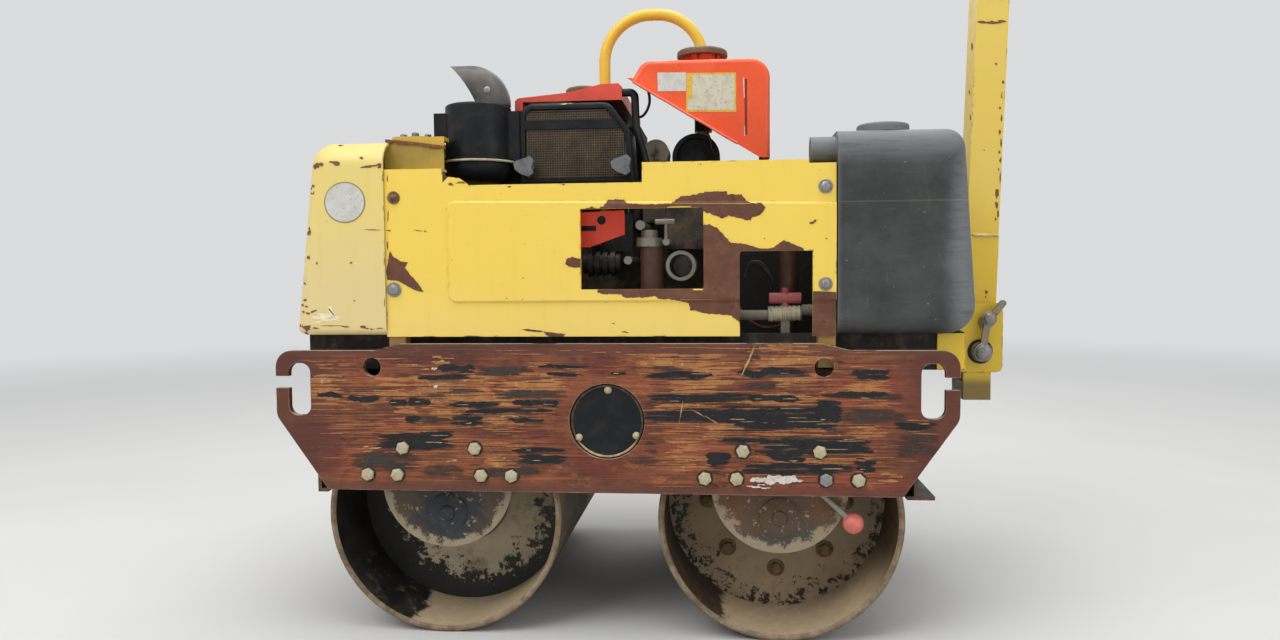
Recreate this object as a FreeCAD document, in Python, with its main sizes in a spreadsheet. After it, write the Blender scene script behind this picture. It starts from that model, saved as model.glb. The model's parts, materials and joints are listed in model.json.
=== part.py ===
import FreeCAD, Part
import Sketcher
import math
import os
from collections import namedtuple

# Walk-behind road roller with two drums and its drawbar folded upright.
# Millimetres. X runs from the front drum to the drawbar, Y across, Z up from the floor.
# Places are given from the middle of the wheelbase, and origin_shift moves them to the part's origin.

V = FreeCAD.Vector

# Driving dimensions: name, value, what it is
SIZES = (
    ("origin_shift", -87.6, "middle of the wheelbase from the part's origin"),
    ("wheelbase", 562.0, "between the drum axes"),
    ("drum_dia", 400.0, "outside of a drum"),
    ("drum_width", 650.0, "length of a drum shell"),
    ("shell_thick", 10.0, "wall of a drum shell"),
    ("rim_bevel", 3.0, "bevel on the rims of a shell"),
    ("disc_recess", 138.0, "rim to the face of a drum disc"),
    ("disc_thick", 10.0, "drum disc"),
    ("disc_bolt_circle", 242.0, "circle of the bolt holes in a disc"),
    ("disc_bolt_hole", 13.0, "bolt holes in a disc"),
    ("disc_bolt_count", 8, "bolt holes in a disc, number"),
    ("shaft_dia", 50.0, "drum shaft"),
    ("shaft_flange_dia", 160.0, "flange of the shaft on a disc"),
    ("shaft_flange_thick", 14.0, "flange of the shaft"),
    ("running_gap", 0.05, "shaft to its bearing, on the radius"),
    ("plate_gap", 8.0, "end of a drum to the side plate"),
    ("plate_thick", 12.0, "side plate"),
    ("plate_half", 560.0, "half of a side plate's length"),
    ("plate_low", 247.0, "lower edge of a side plate"),
    ("plate_shoulder", 481.0, "upper edge at the ends"),
    ("plate_top", 492.0, "upper edge in the middle"),
    ("plate_step_out", 390.0, "where the upper edge starts to rise"),
    ("plate_step_in", 345.0, "where the upper edge is full height"),
    ("plate_foot", 473.0, "half length of the lower edge"),
    ("plate_nose", 371.0, "where an end starts to slant in"),
    ("plate_corner", 28.0, "corner radius of a side plate"),
    ("slot_mid", 519.0, "end slot from the middle"),
    ("slot_width", 38.0, "width of an end slot"),
    ("slot_low", 372.0, "lower end of an end slot"),
    ("slot_high", 460.0, "upper end of an end slot"),
    ("mouth_low", 418.0, "lower edge of a slot's mouth"),
    ("mouth_high", 438.0, "upper edge of a slot's mouth"),
    ("tie_hole_front", 393.0, "front tie hole from the middle"),
    ("tie_hole_rear", 349.0, "rear tie hole from the middle"),
    ("tie_hole_height", 453.5, "tie holes above the floor"),
    ("tie_hole_dia", 31.0, "tie holes"),
    ("cover_height", 365.0, "round cover above the floor"),
    ("cover_dia", 124.0, "opening for the round cover"),
    ("cover_sink", 5.0, "round cover below the face of the plate"),
    ("cover_thick", 4.0, "round cover"),
    ("centre_tube_dia", 140.0, "cross tube behind the covers"),
    ("centre_tube_wall", 6.0, "wall of that tube"),
    ("beam_mid", 455.0, "cross beam from the middle"),
    ("beam_size", 40.0, "cross beam, square"),
    ("beam_wall", 4.0, "wall of a cross beam"),
    ("tray_low", 446.0, "underside of the frame tray"),
    ("tray_top", 506.0, "upper edge of the frame tray"),
    ("tray_wall", 6.0, "tray plate"),
    ("tray_inset", 35.0, "side of the tray inward of the cowls"),
    ("tray_front", 520.0, "front end of the tray"),
    ("tray_rear", 600.0, "rear end of the tray"),
    ("mount_long", 33.0, "rubber mount, side plate to bearing carrier"),
    ("carrier_thick", 15.0, "plate of a bearing carrier"),
    ("carrier_boss_dia", 118.0, "bearing boss of a carrier"),
    ("carrier_boss_deep", 70.0, "bearing boss inward of the plate"),
    ("carrier_half_low", 107.0, "half width of a carrier just under the side plate"),
    ("carrier_half_high", 142.0, "half width of a carrier behind the side plate"),
    ("carrier_top", 342.0, "top of a carrier"),
    ("carrier_waist", 16.0, "foot of a side plate to the widening of a carrier"),
    ("mount_dia", 32.0, "rubber mount"),
    ("upper_bolt_x", 61.0, "upper bolts from a drum axis"),
    ("upper_bolt_z", 319.0, "upper bolts above the floor"),
    ("lower_bolt_x", 71.0, "inner lower bolts from a drum axis"),
    ("outer_bolt_x", 122.0, "outer lower bolts from a drum axis"),
    ("lower_bolt_z", 274.0, "lower bolts above the floor"),
    ("scraper_gap", 5.5, "scraper lip to the drum"),
    ("scraper_thick", 6.0, "scraper sheet"),
    ("scraper_height", 238.0, "scraper lip above the floor"),
    ("scraper_lip_front", 16.0, "width of the front scraper lip"),
    ("scraper_lip_rear", 44.0, "width of the rear scraper lip"),
    ("scraper_web", 497.0, "scraper web from the middle"),
    ("scraper_web_top", 320.0, "top of a scraper web"),
    ("scraper_arm_low", 290.0, "foot of a scraper arm"),
    ("scraper_arm_top", 350.0, "top of a scraper arm"),
    ("cowl_half", 335.0, "half width of hood and water tank"),
    ("hood_wall", 4.0, "sheet of the hood"),
    ("hood_rear", 371.0, "rear edge of the hood from the middle"),
    ("hood_low", 538.0, "front of the hood at its foot"),
    ("hood_high", 501.0, "front of the hood under its top corner"),
    ("hood_top", 829.0, "top of the hood"),
    ("hood_round", 42.0, "radius of the upper front corner of the hood"),
    ("hood_edge", 40.0, "radius of the side edges of the hood"),
    ("hood_foot", 12.0, "radius of the lower edges of the hood"),
    ("hood_lip", 45.0, "inward lip at the foot of the hood"),
    ("panel_inset", 5.0, "outer face of a side panel inward of the hood"),
    ("panel_wall", 4.0, "sheet of a side panel"),
    ("panel_low", 503.0, "lower edge of a side panel"),
    ("panel_top", 785.0, "upper edge of a side panel"),
    ("panel_front_top", 781.0, "upper edge next to the hood"),
    ("panel_step", 326.0, "where the upper edge steps down at the water tank"),
    ("panel_step_top", 779.0, "upper edge behind that step"),
    ("panel_notch_top", 753.0, "upper edge at the engine"),
    ("panel_notch_front", 272.0, "front end of the engine notch"),
    ("panel_notch_rear", 59.0, "rear end of the engine notch"),
    ("panel_rear", 369.0, "rear end of a side panel"),
    ("panel_flange", 22.0, "folded edge of a side panel"),
    ("field_proud", 4.0, "raised field of a side panel"),
    ("field_front", 265.0, "front end of the raised field"),
    ("field_low", 559.0, "lower edge of the raised field"),
    ("field_top_front", 728.0, "upper edge of the raised field in front"),
    ("field_top_rear", 717.0, "upper edge of the raised field behind"),
    ("field_corner", 14.0, "corner radius of the raised field"),
    ("field_bevel", 3.5, "bevel round the raised field"),
    ("hole_front_x0", -42.0, "front end of the front rust hole"),
    ("hole_front_x1", 158.0, "rear end of the front rust hole"),
    ("hole_front_z0", 580.0, "lower edge of the front rust hole"),
    ("hole_front_z1", 711.0, "upper edge of the front rust hole"),
    ("hole_rear_x0", 216.0, "front end of the rear rust hole"),
    ("hole_rear_x1", 332.0, "rear end of the rear rust hole"),
    ("hole_rear_z1", 640.0, "upper edge of the rear rust hole"),
    ("post_mid", 355.0, "panel post from the middle"),
    ("post_width", 28.0, "panel post along the machine"),
    ("tank_front", 371.0, "front face of the water tank"),
    ("tank_rear_low", 593.0, "rear face of the water tank at its foot"),
    ("tank_rear_high", 570.0, "rear face of the water tank at its top"),
    ("tank_top", 831.0, "top of the water tank"),
    ("tank_round", 32.0, "upper rear corner of the water tank"),
    ("tank_foot_round", 45.0, "lower rear corner of the water tank"),
    ("tank_edge", 28.0, "side edges of the water tank"),
    ("lid_x", 450.0, "filler lid of the water tank from the middle"),
    ("lid_y", -272.0, "filler lid of the water tank, across"),
    ("lid_dia", 84.0, "filler lid of the water tank"),
    ("lid_rise", 14.0, "filler lid above the tank"),
    ("spout_long", 41.0, "shoulder of the tank over the side panel"),
    ("spout_y", -300.0, "that shoulder, across"),
    ("spout_z", 802.5, "that shoulder above the floor"),
    ("spout_dia", 42.0, "that shoulder"),
    ("crankcase_top", 700.0, "top of the crankcase"),
    ("head_top", 912.0, "top of the cylinder head"),
    ("fin_pitch", 22.0, "between cooling fins"),
    ("fin_thick", 5.0, "cooling fin"),
    ("cleaner_x", -240.0, "air cleaner from the middle"),
    ("cleaner_y", -215.0, "air cleaner across"),
    ("cleaner_low", 766.0, "foot of the air cleaner"),
    ("cleaner_band", 800.0, "clamp band of the air cleaner"),
    ("cleaner_top", 901.0, "top of the air cleaner"),
    ("cleaner_dia", 115.0, "air cleaner canister"),
    ("bowl_dia", 122.0, "dust bowl of the air cleaner"),
    ("bowl_round", 26.0, "lower edge of the dust bowl"),
    ("band_dia", 130.0, "clamp band"),
    ("band_tall", 7.0, "height of the clamp band"),
    ("cleaner_room", 2.0, "room round the air cleaner in the oil tank's ledge"),
    ("scoop_x", -215.0, "intake scoop on the air cleaner"),
    ("scoop_dia", 66.0, "intake scoop"),
    ("scoop_wall", 2.5, "sheet of the scoop"),
    ("scoop_bend", 36.0, "bend radius of the scoop"),
    ("scoop_reach", 60.0, "scoop forward of its bend"),
    ("scoop_foot", 2.0, "straight foot of the scoop"),
    ("scoop_mouth_x", -371.6, "middle of the arc that cuts the mouth"),
    ("scoop_mouth_z", 859.0, "that arc above the floor"),
    ("scoop_mouth_dia", 280.0, "that arc"),
    ("scoop_hole_z", 923.0, "small hole in the scoop"),
    ("scoop_hole_dia", 10.0, "small hole in the scoop"),
    ("muffler_near", -230.0, "near face of the muffler box"),
    ("muffler_far", -150.0, "far face of the muffler box"),
    ("muffler_round", 25.0, "upper corners of the muffler box"),
    ("muffler_frame", 10.0, "frame round the screen of the muffler box"),
    ("screen_sink", 6.0, "screen behind the frame"),
    ("cover_near", -190.0, "near edge of the red top plate"),
    ("cover_far", 170.0, "far edge of the red top plate"),
    ("fuel_near", -200.0, "near face of the fuel tank"),
    ("fuel_far", -25.0, "far face of the fuel tank"),
    ("fuel_round", 34.0, "upper rear corner of the fuel tank"),
    ("fuel_nose", 24.0, "upper front corner of the fuel tank"),
    ("fuel_edge", 9.0, "side edges of the fuel tank"),
    ("seam_thick", 5.0, "welded seam under the fuel tank"),
    ("seam_reach", 6.0, "seam beyond the sides of the tank"),
    ("filler_x", 152.0, "fuel filler from the middle"),
    ("filler_y", -110.0, "fuel filler across"),
    ("filler_dia", 66.0, "fuel filler neck"),
    ("fuel_cap_low", 999.0, "foot of the fuel cap"),
    ("fuel_cap_tall", 12.0, "height of the fuel cap"),
    ("fuel_cap_dia", 92.0, "fuel cap"),
    ("eye_x", -13.0, "hole in the throttle bracket"),
    ("eye_z", 695.0, "hole in the throttle bracket above the floor"),
    ("eye_dia", 15.0, "hole in the throttle bracket"),
    ("hose_dia", 14.0, "black hose behind the muffler box"),
    ("hose_bend", 10.0, "bend radius of that hose"),
    ("bail_front", -42.0, "front leg of the lifting bail"),
    ("bail_rear", 151.0, "rear leg of the lifting bail"),
    ("bail_top", 1110.0, "middle of the bail's bar at its top"),
    ("bail_dia", 22.0, "bar of the lifting bail"),
    ("bail_bend", 90.0, "bend radius of the bail"),
    ("drawbar_pivot_x", 669.0, "drawbar pivot from the middle"),
    ("drawbar_pivot_z", 454.0, "drawbar pivot above the floor"),
    ("drawbar_lean", 1.9, "drawbar from the vertical, degrees"),
    ("drawbar_depth", 58.0, "box tube along the machine"),
    ("drawbar_breadth", 60.0, "box tube across"),
    ("drawbar_wall", 4.0, "wall of the box tube"),
    ("drawbar_start", 218.0, "pivot to the foot of the box tube"),
    ("knuckle_depth", 60.0, "solid foot of the drawbar along the machine"),
    ("knuckle_below", 34.0, "foot of the drawbar below the pivot"),
    ("pivot_dia", 30.0, "pivot pin"),
    ("ear_gap", 6.0, "drawbar foot to a bracket ear"),
    ("ear_thick", 12.0, "bracket ear"),
    ("ear_corner", 12.0, "lower corner of a bracket ear"),
    ("foot_plate", 8.0, "thinner plate below an ear"),
    ("foot_front", 640.0, "front edge of that plate"),
    ("foot_rear", 690.0, "rear edge of that plate"),
    ("foot_low", 362.0, "lower edge of that plate"),
    ("foot_high", 440.0, "upper edge of that plate"),
    ("foot_bar_top", 396.0, "top of the bar between those plates"),
    ("bracket_low", 470.0, "foot of the bracket's back plate"),
    ("bracket_wing", 40.0, "back plate beyond an ear"),
    ("pin_reach", 12.0, "pivot pin beyond an ear"),
    ("pin_head_dia", 36.0, "head of the pivot pin"),
    ("latch_rise", 56.0, "pivot to the latch pin, upward"),
    ("latch_dia", 25.0, "latch pin"),
    ("latch_shift", 8.0, "pivot to the latch pin, rearward"),
    ("latch_reach", 14.0, "latch pin beyond an ear"),
    ("link_rise", 91.0, "pivot to the end of the latch handle, upward"),
    ("link_shift", 35.0, "pivot to the end of the latch handle, rearward"),
    ("link_wide", 12.0, "bar of the latch handle"),
    ("link_thick", 6.0, "thickness of the latch handle"),
    ("handle_half", 270.0, "half width of the handle hoop"),
    ("handle_reach", 1300.0, "pivot to the grip of the hoop"),
    ("handle_dia", 34.0, "tube of the handle hoop"),
    ("handle_bend", 70.0, "bend radius of the hoop"),
    ("control_head_half", 45.0, "half width of the control head"),
    ("control_head_drop", 175.0, "grip to the top of the control head"),
    ("control_head_tall", 65.0, "height of the control head"),
    ("travel_stem", 110.0, "stem of the travel lever"),
    ("travel_offset", 30.0, "travel lever above the drawbar"),
    ("travel_dia", 14.0, "rod of the travel lever"),
    ("travel_half", 150.0, "half width of the travel lever"),
    ("ball_dia", 34.0, "ball on the release lever"),
    ("lever_dia", 9.0, "rod of the release lever"),
    ("release_x", 314.0, "pivot of the release lever"),
    ("release_z", 276.0, "pivot of the release lever above the floor"),
    ("release_stub", 26.0, "pivot stub of the release lever"),
    ("release_stub_dia", 24.0, "pivot stub of the release lever"),
    ("release_out", 18.0, "release lever outward of the carrier"),
    ("ball_x", 399.0, "ball of the release lever"),
    ("ball_z", 197.0, "ball of the release lever above the floor"),
)

# Side views of sub-parts: name, what it is and its corners as (x, z)
Outline = namedtuple("Outline", "name note corners")
OUTLINES = (
    Outline("tear", "rusted edge of the near panel in the engine notch", (
        (-272, 757), (-262, 767), (-244, 765), (-232, 757), (-228, 753),
    )),
    Outline("lip", "rusted lower edge of the ledge", (
        (-366, 814), (-352, 821), (-334, 825), (-318, 822), (-300, 824), (-277, 820),
    )),
    Outline("muffler", "muffler box", ((-164, 761), (38, 761), (31, 852), (-6, 902), (-164, 902))),
    Outline("cover", "red plate over the head", (
        (-180, 897), (-166, 897), (-166, 912), (12, 912), (12, 935), (6, 941), (-26, 940), (-84, 927),
        (-174, 919), (-180, 914),
    )),
    Outline("fuel", "fuel tank", ((31, 946), (50, 977), (271, 977), (271, 805), (257, 805))),
    Outline("ear", "ear of the drawbar bracket", (
        (600, 478), (627, 415), (710, 415), (710, 530), (700, 545), (658, 545), (636, 520), (600, 506),
    )),
    Outline("throttle", "red throttle bracket", (
        (-49, 650), (-33, 650), (26, 671), (26, 711), (-49, 708),
    )),
    Outline("throttle_slot", "slot in the throttle bracket", (
        (-60, 677), (-22, 677), (-22, 686), (-60, 686),
    )),
)

# Boxes: name, what it is and its ends on each axis
Slab = namedtuple("Slab", "name note x_low x_high y_low y_high z_low z_high")
SLABS = (
    Slab("oil_body", "oil tank", -368, -308, -255, 255, 452, 832),
    Slab("oil_ledge", "ledge of the oil tank", -366, -277, -300, 300, 832, 838),
    Slab("oil_pad", "pad with the oil tank's fittings", -388, -330, -230, -150, 838, 850),
    Slab("crankcase", "crankcase", -170, 190, -90, 170, 452, 700),
    Slab("side_case", "governor case on the near side", 88, 168, -185, -90, 648, 742),
    Slab("barrel", "cylinder barrel", -132, -3, 33, 152, 700, 912),
    Slab("fin", "cooling fin", -145, 10, 20, 165, 700, 705),
    Slab("cleaner_clip", "bracket on the front of the air cleaner", -313, -285, -240, -190, 844, 887),
    Slab("cleaner_neck", "air cleaner to muffler box", -200, -164, -228, -198, 800, 890),
    Slab("recoil_foot", "casting under the recoil housing", 96, 160, -89, -35, 700, 790),
    Slab("grey_casting", "grey casting between muffler box and fuel tank", 41, 87.7, -108, -30, 700, 838),
    Slab("strap", "strap under the fuel tank", 259, 267, -150, -80, 452, 805),
    Slab("clamp", "clamp from the fuel tank to the bail", 137, 165, -25, 0, 880, 940),
    Slab("throttle_arm", "arm of the throttle bracket", -46, -26, -286, -90, 655, 672),
    Slab("valve_foot", "foot of the water valve", 284, 298, -292, -278, 452, 551),
)

# Rods: name, what it is, radius, axis, start and length
Round = namedtuple("Round", "name note radius axis x y z length")
ROUNDS = (
    Round("port", "exhaust port", 22, "Y", -100, -150, 840, 183),
    Round("recoil", "recoil housing", 44, "Y", 140, -112, 818, 77),
    Round("recoil_dish", "hollow of the recoil housing", 36, "Y", 140, -114, 818, 20),
    Round("recoil_hub", "hub of the recoil housing", 19, "Y", 140, -108, 812, 40),
    Round("casting_lug", "round lug of the grey casting", 24, "Y", 66, -116, 828, 60),
    Round("bellows_pipe", "pipe behind the bellows", 12, "Y", -18, -250, 623, 160),
    Round("oil_filler", "oil filler canister", 19.5, "Z", 68, -250, 452, 199),
    Round("filler_skirt", "skirt of the oil filler cap", 22, "Z", 64, -250, 651, 15),
    Round("filler_dome", "dome of the oil filler cap", 14, "Z", 64, -250, 666, 13),
    Round("dip_tube", "dipstick tube", 3, "Z", 94, -272, 656, 42),
    Round("dip_boss", "boss under the dipstick tube", 6, "Y", 94, -276, 658, 91),
    Round("dip_handle", "dipstick handle", 4.5, "X", 76, -272, 692, 32),
    Round("union", "hose union", 7, "Y", 28, -262, 628, 172),
    Round("sender", "oil pressure sender", 8, "Y", 50, -268, 687, 178),
    Round("stub_pipe", "open pipe", 25.5, "Y", 118, -262, 618, 172),
    Round("stub_bore", "bore of the open pipe", 19.5, "Y", 118, -282, 618, 140),
    Round("water_filter", "water filter", 16, "Z", 300, -235, 452, 190),
    Round("valve_pipe", "inlet pipe of the water valve", 8.5, "X", 206, -285, 535, 57),
    Round("valve_body", "body of the water valve", 12, "X", 263, -285, 538, 55),
    Round("valve_nut", "nut of the water valve", 9.5, "X", 318, -285, 543, 17),
    Round("valve_bar", "red bar of the water valve's handle", 9, "X", 265, -285, 563, 52),
    Round("valve_stem", "red stem of the water valve's handle", 6, "Z", 291, -285, 551, 29),
)

# Ribbed boot on its pipe: name, what it is, start along X, length and radius of each ring
Ring = namedtuple("Ring", "x length radius")
BELLOWS = (
    Ring(-49, 9, 17), Ring(-40, 7, 22), Ring(-33, 5, 17), Ring(-28, 8, 21), Ring(-20, 5, 16),
    Ring(-15, 8, 20), Ring(-7, 5, 16), Ring(-2, 8, 21), Ring(6, 8, 16),
)
# Corners of the black hose from the red plate to the crankcase, as (x, y, z)
HOSE_ROUTE = (
    (12, -180, 926), (34, -180, 926), (36, -180, 866), (56, -172, 790), (30, -172, 690), (30, -90, 690),
)

doc = FreeCAD.newDocument("RoadRoller")
sheet = doc.addObject("Spreadsheet::Sheet", "Sizes")
SHEET_ROWS = list(SIZES)
for outline in OUTLINES:
    for index, corner in enumerate(outline.corners):
        for axis, value in zip("xz", corner):
            SHEET_ROWS.append(("%s_%s%d" % (outline.name, axis, index), value, outline.note))
for slab in SLABS:
    for column in Slab._fields[2:]:
        SHEET_ROWS.append((slab.name + "_" + column, getattr(slab, column), slab.note))
for item in ROUNDS:
    for column in ("radius", "x", "y", "z", "length"):
        SHEET_ROWS.append((item.name + "_" + column, getattr(item, column), item.note))
for index, ring in enumerate(BELLOWS):
    for column in Ring._fields:
        SHEET_ROWS.append(("ring%d_%s" % (index, column), getattr(ring, column), "ring of the bellows"))
for index, corner in enumerate(HOSE_ROUTE):
    for axis, value in zip("xyz", corner):
        SHEET_ROWS.append(("hose_%s%d" % (axis, index), value, "corner of the black hose"))
for row, (alias, value, note) in enumerate(SHEET_ROWS, start=1):
    sheet.set("A%d" % row, alias)
    sheet.set("B%d" % row, str(value))
    sheet.set("C%d" % row, note)
    sheet.setAlias("B%d" % row, alias)
doc.recompute()


class Dim:
    """A length with the sheet formula that it comes from."""

    def __init__(self, text, value):
        self.text = text
        self.value = value

    def __add__(self, other):
        other = dim(other)
        return Dim("(%s + %s)" % (self.text, other.text), self.value + other.value)

    def __radd__(self, other):
        return dim(other) + self

    def __sub__(self, other):
        other = dim(other)
        return Dim("(%s - %s)" % (self.text, other.text), self.value - other.value)

    def __rsub__(self, other):
        return dim(other) - self

    def __mul__(self, other):
        other = dim(other)
        return Dim("(%s * %s)" % (self.text, other.text), self.value * other.value)

    def __rmul__(self, other):
        return dim(other) * self

    def __truediv__(self, other):
        other = dim(other)
        return Dim("(%s / %s)" % (self.text, other.text), self.value / other.value)

    def __neg__(self):
        return Dim("(-1 * %s)" % self.text, -self.value)


def dim(value):
    """A plain number or a Dim, as a Dim."""
    if isinstance(value, Dim):
        return value
    return Dim("(%r)" % float(value), float(value))


class Sheet:
    """The driving dimensions as attributes."""


S = Sheet()
for alias, value, note in SHEET_ROWS:
    setattr(S, alias, Dim("Sizes.%s" % alias, float(sheet.get(alias))))

nodes = []
counter = {}


def fresh(stem):
    """An object name that is not used yet."""
    counter[stem] = counter.get(stem, 0) + 1
    return "%s_%d" % (stem, counter[stem])


def bind(obj, prop, value):
    """Set a property from a Dim, through the sheet."""
    obj.setExpression(prop, dim(value).text)


def add_node(obj, label, at=(0.0, 0.0, 0.0)):
    """Name a finished sub-part and move it to the part's origin."""
    obj.Label = label
    bind(obj, "Placement.Base.x", dim(at[0]) + S.origin_shift)
    bind(obj, "Placement.Base.y", at[1])
    bind(obj, "Placement.Base.z", at[2])
    nodes.append(obj)
    return obj


def block(xs, ys, zs):
    """Box between two places on each axis."""
    obj = doc.addObject("Part::Box", fresh("block"))
    for size, base, (low, high) in zip(("Length", "Width", "Height"), "xyz", (xs, ys, zs)):
        bind(obj, size, dim(high) - low)
        bind(obj, "Placement.Base." + base, low)
    return obj


TURNS = {"X": (V(0, 1, 0), 90), "Y": (V(1, 0, 0), -90), "Z": (V(0, 0, 1), 0)}


def rod(radius, axis, start, length, kind="Part::Cylinder"):
    """Cylinder from a start point along X, Y or Z."""
    obj = doc.addObject(kind, fresh("rod"))
    bind(obj, "Radius", radius)
    bind(obj, "Height", length)
    obj.Placement = FreeCAD.Placement(V(0, 0, 0), FreeCAD.Rotation(*TURNS[axis]))
    for base, value in zip("xyz", start):
        bind(obj, "Placement.Base." + base, value)
    return obj


def slab(name):
    """Box from the table of boxes."""
    ends = [getattr(S, name + "_" + column) for column in Slab._fields[2:]]
    return block(ends[0:2], ends[2:4], ends[4:6])


def table_rod(name):
    """Cylinder from the table of rods."""
    axis = next(item.axis for item in ROUNDS if item.name == name)
    radius, x, y, z, length = (
        getattr(S, name + "_" + column) for column in ("radius", "x", "y", "z", "length")
    )
    return rod(radius, axis, (x, y, z), length)


def corners(name):
    """Corners from the table of side views."""
    count = next(len(outline.corners) for outline in OUTLINES if outline.name == name)
    places = []
    for index in range(count):
        places.append((getattr(S, "%s_x%d" % (name, index)), getattr(S, "%s_z%d" % (name, index))))
    return places


def cut(base, *tools):
    """Base less its tools."""
    tool = tools[0]
    if len(tools) > 1:
        tool = fuse(*tools)
    obj = doc.addObject("Part::Cut", fresh("cut"))
    obj.Base = base
    obj.Tool = tool
    return obj


def fuse(*pieces):
    """Pieces joined, or kept side by side where they don't touch."""
    obj = doc.addObject("Part::MultiFuse", fresh("fuse"))
    obj.Shapes = list(pieces)
    return obj


def group(*pieces):
    """Separate solids in one sub-part."""
    obj = doc.addObject("Part::Compound", fresh("group"))
    obj.Links = list(pieces)
    return obj


def new_body():
    return doc.addObject("PartDesign::Body", fresh("body"))


def plane_of(body, role):
    return next(item for item in body.Origin.OriginFeatures if item.Role == role)


def sketch_on(body, plane, offset):
    """Sketch on XY, XZ or YZ, at a height, depth or distance along that plane's axis."""
    sketch = body.newObject("Sketcher::SketchObject", fresh("sketch"))
    sketch.AttachmentSupport = [(plane_of(body, plane + "_Plane"), "")]
    sketch.MapMode = "FlatFace"
    if plane == "XZ":
        offset = -dim(offset)
    bind(sketch, "AttachmentOffset.Base.z", offset)
    return sketch


def draw_outline(sketch, points):
    """Closed run of lines through bound points, added to a sketch."""
    points = [(dim(across), dim(up)) for across, up in points]
    first = sketch.GeometryCount
    count = len(points)
    for index in range(count):
        here = points[index]
        there = points[(index + 1) % count]
        start = V(here[0].value, here[1].value, 0)
        end = V(there[0].value, there[1].value, 0)
        sketch.addGeometry(Part.LineSegment(start, end))
    for index in range(count):
        following = first + (index + 1) % count
        sketch.addConstraint(Sketcher.Constraint("Coincident", first + index, 2, following, 1))
    for index, place in enumerate(points):
        for kind, value in zip(("DistanceX", "DistanceY"), place):
            rule = Sketcher.Constraint(kind, -1, 1, first + index, 1, value.value)
            number = sketch.addConstraint(rule)
            sketch.setExpression("Constraints[%d]" % number, value.text)


def draw_circle(sketch, across, up, radius):
    """Bound circle added to a sketch."""
    across, up, radius = dim(across), dim(up), dim(radius)
    circle = Part.Circle(V(across.value, up.value, 0), V(0, 0, 1), radius.value)
    index = sketch.addGeometry(circle)
    for kind, value in (("DistanceX", across), ("DistanceY", up)):
        number = sketch.addConstraint(Sketcher.Constraint(kind, -1, 1, index, 3, value.value))
        sketch.setExpression("Constraints[%d]" % number, value.text)
    number = sketch.addConstraint(Sketcher.Constraint("Radius", index, radius.value))
    sketch.setExpression("Constraints[%d]" % number, radius.text)


def pad(body, sketch, length):
    """Pad along the plane's axis. On XZ it runs towards -Y."""
    feature = body.newObject("PartDesign::Pad", fresh("pad"))
    feature.Profile = sketch
    bind(feature, "Length", length)
    return feature


def pocket(body, sketch, length):
    """Pocket through both ways from the sketch."""
    feature = body.newObject("PartDesign::Pocket", fresh("pocket"))
    feature.Profile = sketch
    feature.Midplane = True
    bind(feature, "Length", length)
    return feature


def prism(plane, points, low, high, pockets=()):
    """Body padded between two places along the plane's axis, with outlines cut right through."""
    body = new_body()
    start = high if plane == "XZ" else low
    sketch = sketch_on(body, plane, start)
    draw_outline(sketch, points)
    length = dim(high) - low
    pad(body, sketch, length)
    for cutter in pockets:
        inner = sketch_on(body, plane, (dim(low) + high) / 2)
        if len(cutter) == 3 and not isinstance(cutter[0], tuple):
            draw_circle(inner, *cutter)
        else:
            draw_outline(inner, cutter)
        pocket(body, inner, length * 2)
    return body


def soften(body, radius, chosen, kind="PartDesign::Fillet"):
    """Round or bevel the edges of the body's last feature that are chosen by a test."""
    doc.recompute()
    tip = body.Tip
    names = []
    for number, edge in enumerate(tip.Shape.Edges, start=1):
        if chosen(edge):
            names.append("Edge%d" % number)
    if not names:
        raise RuntimeError("no edge to soften on " + body.Name)
    feature = body.newObject(kind, fresh("soft"))
    feature.Base = (tip, names)
    bind(feature, "Radius" if kind.endswith("Fillet") else "Size", radius)
    doc.recompute()
    return feature


def along(edge, axis):
    """True where a straight edge runs along an axis, given as 0, 1 or 2."""
    if not isinstance(edge.Curve, Part.Line):
        return False
    return abs(abs(edge.Curve.Direction[axis]) - 1.0) < 1e-6


def near(value, target, slack=0.6):
    return abs(value - dim(target).value) < slack


def at_point(edge, x=None, y=None, z=None):
    """True where the middle of an edge is at the given places."""
    middle = edge.BoundBox.Center
    for place, target in zip(middle, (x, y, z)):
        if target is not None and not near(place, target):
            return False
    return True


def puck(x, y, radius, low, high, low_round=None, high_round=None):
    """Upright disc with a rounded lower or upper rim."""
    body = new_body()
    sketch = sketch_on(body, "XY", low)
    draw_circle(sketch, x, y, radius)
    pad(body, sketch, dim(high) - low)
    for height, rounding in ((low, low_round), (high, high_round)):
        if rounding is not None:
            soften(body, rounding, lambda edge: edge.BoundBox.ZLength < 0.01 and at_point(edge, z=height))
    return body


# Derived places that several sub-parts share
AXLE = S.wheelbase / 2
DRUM_R = S.drum_dia / 2
DRUM_END = S.drum_width / 2
PLATE_IN = DRUM_END + S.plate_gap
PLATE_OUT = PLATE_IN + S.plate_thick
DISC_FACE = DRUM_END - S.disc_recess
TRAY_FLOOR = S.tray_low + S.tray_wall
TRAY_SIDE = S.cowl_half - S.tray_inset
PANEL_OUT = S.cowl_half - S.panel_inset
PANEL_IN = PANEL_OUT - S.panel_wall
CARRIER_OUT = PLATE_IN - S.mount_long
HEAD_TOP = S.handle_reach - S.control_head_drop
TUBE_END = HEAD_TOP - S.control_head_tall
SEAM_SLOPE = (S.fuel_z4.value - S.fuel_z0.value) / (S.fuel_x4.value - S.fuel_x0.value)
SIDES = ((-1, "near"), (1, "far"))
ENDS = ((-1, "front"), (1, "rear"))


def span(side, inner, outer):
    """Low and high Y of a piece that lies between two distances on one side."""
    if side < 0:
        return -dim(outer), -dim(inner)
    return dim(inner), dim(outer)


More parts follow.
